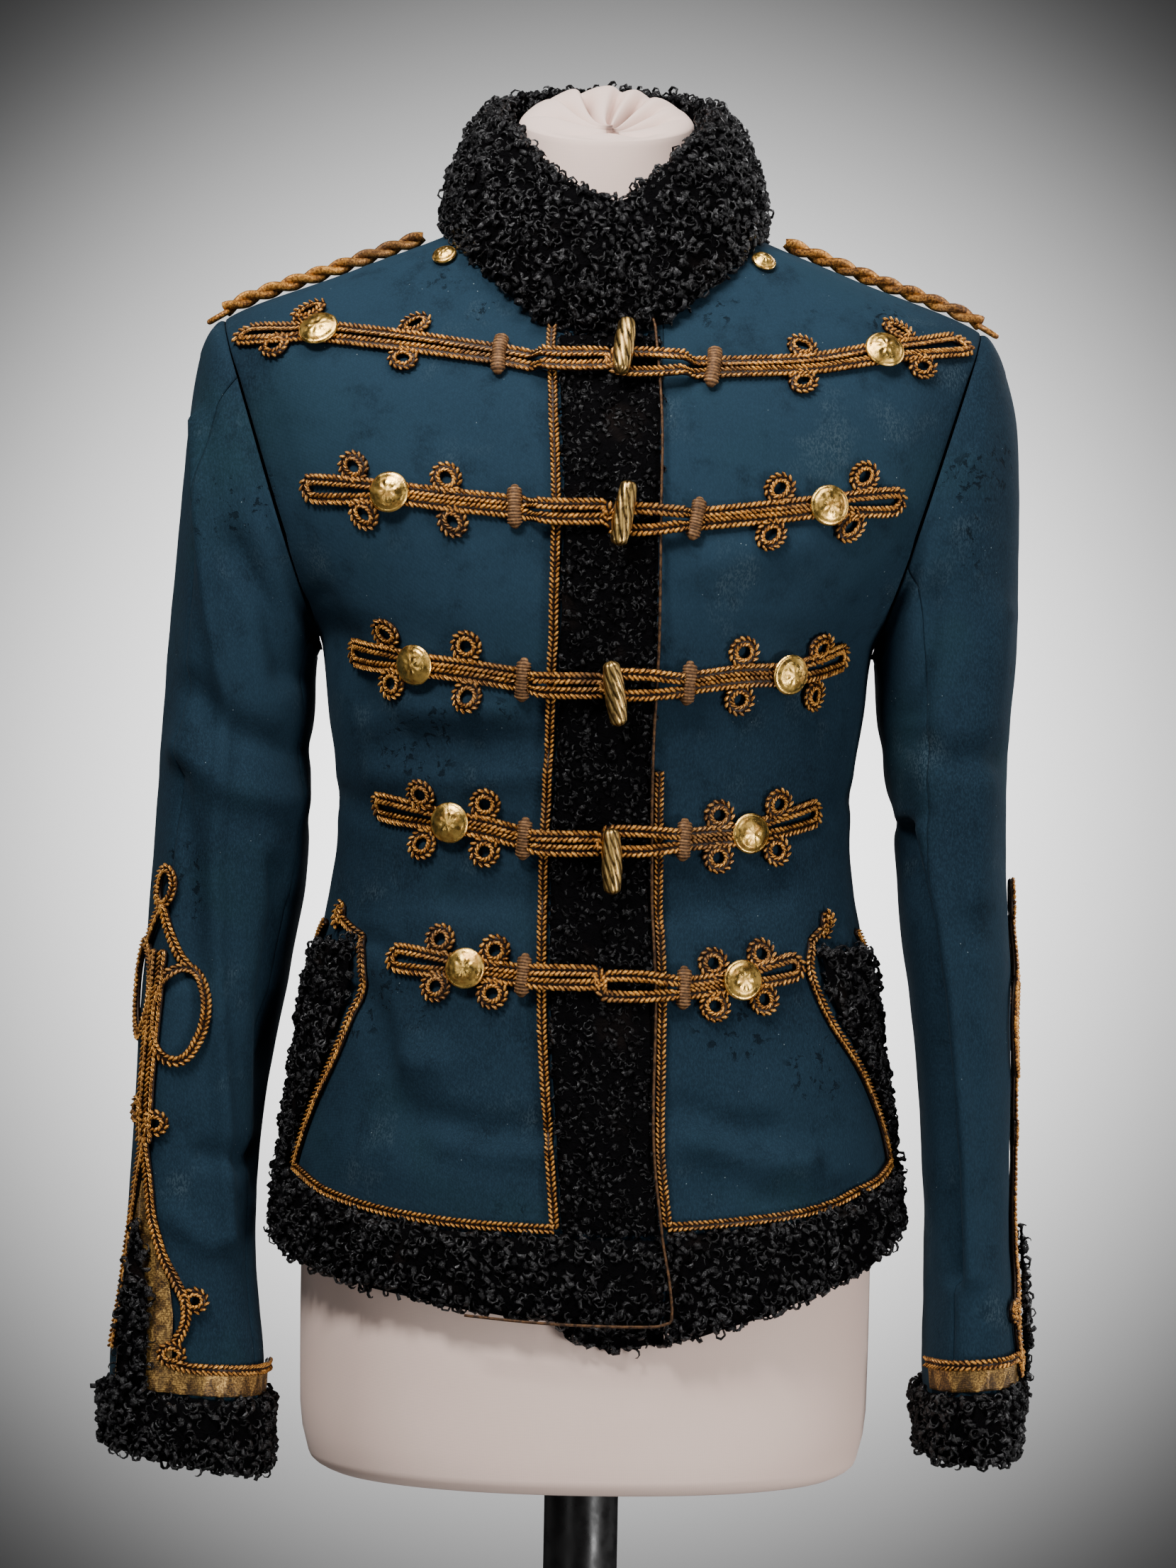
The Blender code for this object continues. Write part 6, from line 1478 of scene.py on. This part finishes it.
# Cuffs
def sleeve_flat(side):
    """Turns flat places (distance round from the slit, height) into points and normals."""
    turns = np.radians(np.arange(-180, 361, 5.0))
    places = sleeve_place(side, np.full(len(turns), 11.5), turns)
    lengths = np.concatenate(([0.0], np.cumsum(np.linalg.norm(np.diff(places, axis=0), axis=1))))
    lengths -= np.interp(math.radians(HIND_SEAM[side]), turns, lengths)
    rings = np.arange(4, SLEEVE_HEM + 0.01, 0.25)

    def find(path):
        turn = np.interp(path[:, 0], lengths, turns)
        ring_grid, turn_grid = np.meshgrid(rings, turn)
        heights = sleeve_place(side, ring_grid, turn_grid)[..., 2]
        ring = np.array([np.interp(-z, -row, rings) for z, row in zip(path[:, 1], heights)])
        return ring, turn

    def lay(path, lift=0.0):
        ring, turn = find(path)
        return sleeve(side, ring, turn, lift), sleeve_normal(side, ring, turn)

    def turn_of(across):
        return np.interp(across, lengths, turns)
    return lay, turn_of


def cuff_braid(braid):
    """The knot above the slit, its legs round the slit and the cord of the band."""
    for side in (RIGHT, LEFT):
        lay, turn_of = sleeve_flat(side)
        shape = Shape()
        lift = 0.0010

        def run(path, closed=False, more=0.0, width=BRAID_WIDTH):
            add_chain(shape, *lay(smooth_path(path, 0.0014, closed), lift + more), width=width,
                closed=closed)

        for x, z, wide, tall in (KNOT_EYE,):
            run(circle(x, z, wide, tall, 16), True, 0.0004, 0.0058)
        for x, z, wide, tall in KNOT_RINGS:
            run(circle(x, z, wide, tall, 20), True, 0.0006 if x > 0 else 0.0)
        for x, z, wide, tall in KNOT_LEAVES + KNOT_CURLS:
            run(circle(x, z, wide, tall, 12), True, 0.0004, 0.0058)
        for strand in KNOT_STRANDS:
            run(strand)
        for sign in (1, -1):
            run([(x + sign * 0.0029, z) for x, z in KNOT_STEM])
        run(KNOT_BACK_LEG)
        run(KNOT_FRONT_LEG)
        curl_x, curl_z, _, curl_half = KNOT_CURLS[-1]
        band = [(curl_x, curl_z - curl_half)]
        for across in np.linspace(KNOT_BAND_START, KNOT_BAND_LENGTH[side], 7):
            top = float(sleeve_place(side, CUFF_TOP, float(turn_of(across)))[2])
            band.append((across, top + KNOT_BAND_LIFT))
        run(band)
        name = f"cuff_knot_{WORDS[side]}"
        shape.finish(f"{name}_braid", braid, [name])


def welded_copy(node, cuts):
    """Points and faces of a CAD node, welded and cut into smaller faces."""
    shape = bmesh.new()
    shape.from_mesh(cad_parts[node].data)
    bmesh.ops.remove_doubles(shape, verts=shape.verts[:], dist=0.00002)
    if cuts:
        long_edges = [edge for edge in shape.edges if edge.calc_length() > 0.004]
        bmesh.ops.subdivide_edges(shape, edges=long_edges, cuts=cuts, use_grid_fill=True)
        bmesh.ops.triangulate(shape, faces=shape.faces[:])
    shape.verts.ensure_lookup_table()
    points = np.array([vertex.co[:] for vertex in shape.verts])
    normals = np.array([vertex.normal[:] for vertex in shape.verts])
    faces = [[vertex.index for vertex in face.verts] for face in shape.faces]
    shape.free()
    return points, normals, faces


def cuff_lace(lace):
    """Gold lace with raised zigzags, in the slit's corner and round the band."""
    for side in (RIGHT, LEFT):
        name = f"cuff_lace_{WORDS[side]}"
        points, normals, faces = welded_copy(name, 7)
        low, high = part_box(f"cuff_fur_{WORDS[side]}")
        centre = (np.array(low) + np.array(high)) / 2
        around = np.arctan2(points[:, 1] - centre[1], points[:, 0] - centre[0]) * 0.052
        level = points[:, 2] - points[:, 2].min()
        on_band = level < 0.0170
        teeth = np.abs(((np.where(on_band, around, points[:, 2]) / 0.0125) % 1.0) * 2 - 1)
        beside = np.where(on_band, level / 0.0170, (around / 0.0110) % 1.0)
        height = np.tanh((beside - 0.12 - 0.76 * teeth) * 9)
        rim = np.exp(-((beside - 0.12 - 0.76 * teeth) / 0.075) ** 2)
        outward = np.stack([points[:, 0] - centre[0], points[:, 1] - centre[1], np.zeros(len(points))], -1)
        facing_out = np.einsum("ij,ij->i", unit(outward), normals) > 0.2
        points = points + normals * (np.where(facing_out, 0.4 * height + rim, 0.0) * 0.00022)[:, None]
        shape = Shape()
        shape.add(points, [np.array(faces)], tint=0.42 + 0.20 * height + 0.30 * rim)
        shape.finish(f"{name}_zigzag", lace, [name])


# Fur
def add_curls(shape, roots, normals, radius, thick, lean, turn_range, gloss=1.0):
    """Hooked locks of hair growing from roots along normals."""
    count = len(roots)
    draw = unit(chance.normal(size=(count, 3)))
    tangent = unit(draw - normals * np.einsum("ij,ij->i", draw, normals)[:, None])
    aside = np.cross(normals, tangent)
    tilt = np.radians(chance.uniform(lean[0], lean[1], count)) * chance.choice([-1, 1], count)
    rise = normals * np.cos(tilt)[:, None] + aside * np.sin(tilt)[:, None]
    flat_axis = np.cross(tangent, rise)
    size = radius * chance.uniform(0.65, 1.25, count)
    sweep = np.radians(chance.uniform(turn_range[0], turn_range[1], count))
    rings = 6
    share = np.linspace(0, 1, rings)
    phi = sweep[:, None] * share[None, :]
    shrink = 1 - 0.30 * share[None, :]
    along = size[:, None] * (1 - np.cos(phi)) * shrink
    up = size[:, None] * np.sin(phi) * shrink + 0.25 * size[:, None] * share[None, :]
    drift = size[:, None] * 0.45 * share[None, :]
    line = (
        roots[:, None, :] + tangent[:, None, :] * along[..., None] + rise[:, None, :] * up[..., None]
        + flat_axis[:, None, :] * drift[..., None]
    )
    way = unit(np.gradient(line, axis=1))
    inward = unit(np.cross(way, flat_axis[:, None, :]))
    taper = np.array([0.9, 1.2, 1.2, 1.05, 0.75, 0.2])
    width = thick * chance.uniform(0.75, 1.3, count)[:, None] * taper[None, :]
    corners = []
    for wide, high in ((1, -0.3), (0, 0.6), (-1, -0.3)):
        corners.append(line + flat_axis[:, None, :] * (wide * width)[...,
            None] + inward * (high * width)[..., None])
    points = np.stack(corners, 2)
    last = 3 * (rings - 1)
    starts = np.arange(count)[:, None, None] * rings * 3
    blocks = [
        (block[None] + starts).reshape(-1, block.shape[1])
        for block in (grid_faces(rings, 3, ring=True), np.array([(2, 1, 0), (last, last + 1, last + 2)]))
    ]
    tint = gloss * (chance.uniform(0.2, 0.8, count)[:, None, None] + 0.2 * share[None, :,
        None] + np.zeros((1, 1, 3)))
    shape.add(points, blocks, tint, np.tile((1.0, 0.0, -1.0), count * rings))


def scatter(points, faces, keep, spacing):
    """Places spread over the kept triangles, with their normals."""
    triangles = points[np.array(faces)]
    cross = np.cross(triangles[:, 1] - triangles[:, 0], triangles[:, 2] - triangles[:, 0])
    area = np.linalg.norm(cross, axis=1) / 2
    normals = unit(cross)
    area = np.where(keep(triangles.mean(axis=1), normals), area, 0.0)
    count = int(area.sum() / spacing ** 2)
    chosen = chance.choice(len(area), count, p=area / area.sum())
    first, second = chance.random(count), chance.random(count)
    flip = first + second > 1
    first, second = np.where(flip, 1 - first, first), np.where(flip, 1 - second, second)
    base = triangles[chosen]
    places = base[:, 0] + (base[:, 1] - base[:, 0]) * first[:,
        None] + (base[:, 2] - base[:, 0]) * second[:, None]
    return places, normals[chosen]


# Fur pieces: curl radius, thickness, spacing of the curls, depth of the roots
FUR_KINDS = {
    "collar": (0.0035, 0.00105, 0.0036, 0.0024),
    "full": (0.0033, 0.00102, 0.0040, 0.0024),
    "worn": (0.0024, 0.00085, 0.0034, 0.0018),
}
FUR_NODES = {
    "collar_fur": "collar", "front_fur_right": "worn", "front_fur_left": "full", "hem_fur_right": "full",
    "hem_fur_left": "full", "hem_fur_back": "full", "side_fur_right": "full", "side_fur_left": "full",
    "cuff_fur_right": "full", "cuff_fur_left": "full", "slit_fur_right": "full", "slit_fur_left": "full",
}


def furs(fur):
    for node, kind in FUR_NODES.items():
        radius, thick, spacing, depth = FUR_KINDS[kind]
        low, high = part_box(node)
        centre = (np.array(low) + np.array(high)) / 2
        if "hem" in node or "side" in node or node.startswith("front"):
            centre[:] = (0.0, 0.0, 0.0)
        if "slit" in node:
            low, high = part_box(node.replace("slit", "cuff"))
            centre = (np.array(low) + np.array(high)) / 2
        limit = -1.1 if node == "collar_fur" else -0.35

        def keep(middle, normal):
            outward = middle - centre
            outward[:, 2] = 0
            shown = np.einsum("ij,ij->i", unit(outward), normal) > limit
            if node == "collar_fur":
                shown &= (np.einsum("ij,ij->i", unit(outward), normal) > -0.2) | (middle[:, 2] > 1.455)
            return shown

        points, normals, faces = welded_copy(node, 2 if kind == "worn" else 1)
        roots, ways = scatter(points, faces, keep, spacing)
        lumps = np.zeros(len(points))
        for axis, phase in ((0, 0.3), (1, 1.7), (2, 2.9)):
            lumps += np.sin(points[:, axis] / 0.0056 * math.tau + phase + 2.1 * np.sin(points[:,
                (axis + 1) % 3] / 0.013 * math.tau))
        sunk = 0.0006 if kind == "worn" else 0.0016
        base = points - normals * (sunk + 0.00035 * lumps)[:, None]
        shape = Shape()
        shape.add(base, [np.array(faces)], tint=0.05)
        ways = unit(ways + chance.normal(0, 0.16, ways.shape))
        add_curls(shape, roots - ways * depth, ways, radius, thick, (12, 75), (180, 330),
            0.72 if kind == "worn" else 1.0)
        shape.finish(f"{node}_curls", fur, [node])


# Dress form and stand
def form_ring(half_width, front, back, z, turns):
    power = 2 / SECTION_ROUNDNESS
    depth = np.where(np.cos(turns) > 0, front, back)
    x = half_width * signed_power(np.sin(turns), power)
    return np.stack([x, -depth * signed_power(np.cos(turns), power), np.full(len(turns), z)], -1)


def dress_form(jersey):
    """The padded torso in cream jersey, gathered into a small hole at the top of its neck."""
    count = 160
    turns = np.arange(count) / count * math.tau
    low, high = smooth_table(FORM_LOW), smooth_table(FORM_HIGH)
    rings = [form_ring(0.022, 0.022, 0.022, 0.7022, turns)]
    for z in np.concatenate([[0.7020, 0.7024, 0.7030, 0.7045, 0.7065, 0.7090],
        np.linspace(0.7120, 1.0600, 26)]):
        rings.append(form_ring(*low(z), z, turns))
    inset = CLOTH + FORM_CLEARANCE
    for z in FORM_BODY_HEIGHTS:
        slack = 0.004 * smooth_step((1.26 - z) / 0.12) + 0.003 * smooth_step((z - 1.385) / 0.02)
        point = bare_body(turns, z) - body_normal(turns, np.full(count, z)) * (inset + slack)
        limit = armhole_x(np.maximum(point[:, 2], ARMPIT[1])) - 0.003
        point[:, 0] = np.clip(point[:, 0], -limit, limit)
        rings.append(point)
    lip = NECK_LIP_MIDDLE - NECK_LIP_TILT * np.cos(turns)
    for share in np.linspace(0.0, 1.0, 14):
        height = 1.4250 + (lip - 1.4250) * share
        ring = form_ring(*high(1.4250 + 0.045 * share), 0.0, turns)
        ring[:, 2] = height
        rings.append(ring)
    brim = rings[-1]
    hole = np.array(NECK_HOLE)
    pleat = np.zeros(count)
    for place, half_width, depth in NECK_PLEATS:
        off = (np.degrees(turns) - place + 180) % 360 - 180
        sharp = np.where(off > 0, half_width * 0.40, half_width * 1.3)
        pleat += depth * np.exp(-np.abs(off / sharp) ** 1.3)
    behind = (1 - np.cos(turns)) / 2
    roll = NECK_ROLL[0] + (NECK_ROLL[1] - NECK_ROLL[0]) * behind
    rim = hole[2] - 0.0022 + 0.0062 * behind
    for share in np.linspace(0.0, 1.0, 40)[1:]:
        toward = smooth_step(share / 0.30) * 0.24 + 0.76 * max(0.0, (share - 0.12) / 0.88) ** 1.05
        point = brim + (hole - brim) * np.array([toward, toward, 0.0])
        rounding = roll * math.sin(min(1.0, share / 0.24) * math.pi / 2)
        fall = smooth_step((share - 0.16) / 0.84) ** 0.85
        deep = smooth_step((share - 0.06) / 0.34) * (1 - 0.30 * smooth_step((share - 0.80) / 0.20))
        top = brim[:, 2] + rounding
        point[:, 2] = top + (rim - top) * fall - pleat * deep
        twist = 0.45 * share * share
        radial = point[:, :2] - hole[:2]
        point[:, 0] = hole[0] + radial[:, 0] * math.cos(twist) - radial[:, 1] * math.sin(twist)
        point[:, 1] = hole[1] + radial[:, 0] * math.sin(twist) + radial[:, 1] * math.cos(twist)
        reach = np.hypot(point[:, 0] - hole[0], point[:, 1] - hole[1])
        point[:, :2] = hole[:2] + (point[:, :2] - hole[:2]) * np.maximum(1.0,
            0.0038 / np.maximum(reach, 1e-9))[:, None]
        rings.append(point)
    rings.append(rings[-1] - np.array([0.0, 0.0, 0.016]))
    shape = Shape()
    rings = np.array(rings)
    # Painted shade: low in the troughs of the neck's pleats, lower towards the hole and lowest inside it.
    neck_painted_shade = np.full(rings.shape[:2], 0.5)
    top = np.linspace(0.0, 1.0, 40)[1:, None]
    neck_painted_shade[-41:-2] -= 0.42 * np.clip(pleat[None, :] / 0.013, 0, 1) ** 1.5 * smooth_step((top - 0.10) / 0.4)
    neck_painted_shade[-41:-2] -= 0.30 * smooth_step((top - 0.82) / 0.18)
    neck_painted_shade[-2:] = 0.0
    shape.add(rings, [
        grid_faces(len(rings), count, ring=True), np.arange(count)[None, ::-1],
        np.arange((len(rings) - 1) * count, len(rings) * count)[None, :],
    ], tint=neck_painted_shade)
    piece = shape.finish("form_torso_cover", jersey, ["form_torso"])


def lathe(name, profile, count, material, node):
    """A turned piece from a profile of (radius, height), bottom to top."""
    turns = np.arange(count) / count * math.tau
    radius, z = np.array(profile).T
    points = np.stack([
        radius[:, None] * np.cos(turns)[None, :], radius[:, None] * np.sin(turns)[None, :],
        np.repeat(z[:, None], count, axis=1),
    ], -1)
    shape = Shape()
    shape.add(points, [
        grid_faces(len(profile), count, ring=True), np.arange(count)[None, ::-1],
        np.arange((len(profile) - 1) * count, len(profile) * count)[None, :],
    ])
    piece = shape.finish(name, material, [node])
    piece.data.set_sharp_from_angle(angle=math.radians(40))
    return piece


def stand(enamel):
    top = FORM_LOW[0][0] - SEAM
    pole = [(POLE_RADIUS - 0.0006, 0.0303), (POLE_RADIUS, 0.0309), (POLE_RADIUS, 0.35),
        (POLE_RADIUS, top - 0.0006),
            (POLE_RADIUS - 0.0006, top)]
    lathe("stand_pole_enamel", pole, 64, enamel, "stand_pole")
    foot = [(BASE_RADIUS - 0.001, 0.0), (BASE_RADIUS, 0.001), (BASE_RADIUS, 0.0052),
        (BASE_RADIUS - 0.0012, 0.0075)]
    foot += [(BASE_RADIUS - 0.005, 0.0093), (0.120, 0.0118), (POLE_RADIUS + 0.034, 0.0142),
        (POLE_RADIUS + 0.020, 0.0165)]
    foot += [(POLE_RADIUS + 0.0145, 0.0225), (POLE_RADIUS + 0.0125, 0.0285),
        (POLE_RADIUS + 0.0100, 0.0300), (0.004, 0.0300)]
    lathe("stand_base_enamel", foot, 96, enamel, "stand_base")


camera()
studio()
cloth = cloth_look("blue_broadcloth", (0.0060, 0.0150, 0.0250), (0.0100, 0.0245, 0.0390),
    (0.075, 0.105, 0.120))
thread, fur = braid_look(), fur_look()
gilt = gilt_look()
dress_form(form_look())
stand(stand_look())
body_cloth(cloth)
sleeve_cloth(cloth)
wound = keeper_look()
frogs(thread, wound, gilt)
toggles(brass_look())
edge_cords(thread)
placket_piping(wound)
shoulder_cords(thread, gilt)
cuff_braid(thread)
cuff_lace(lace_look())
furs(fur)
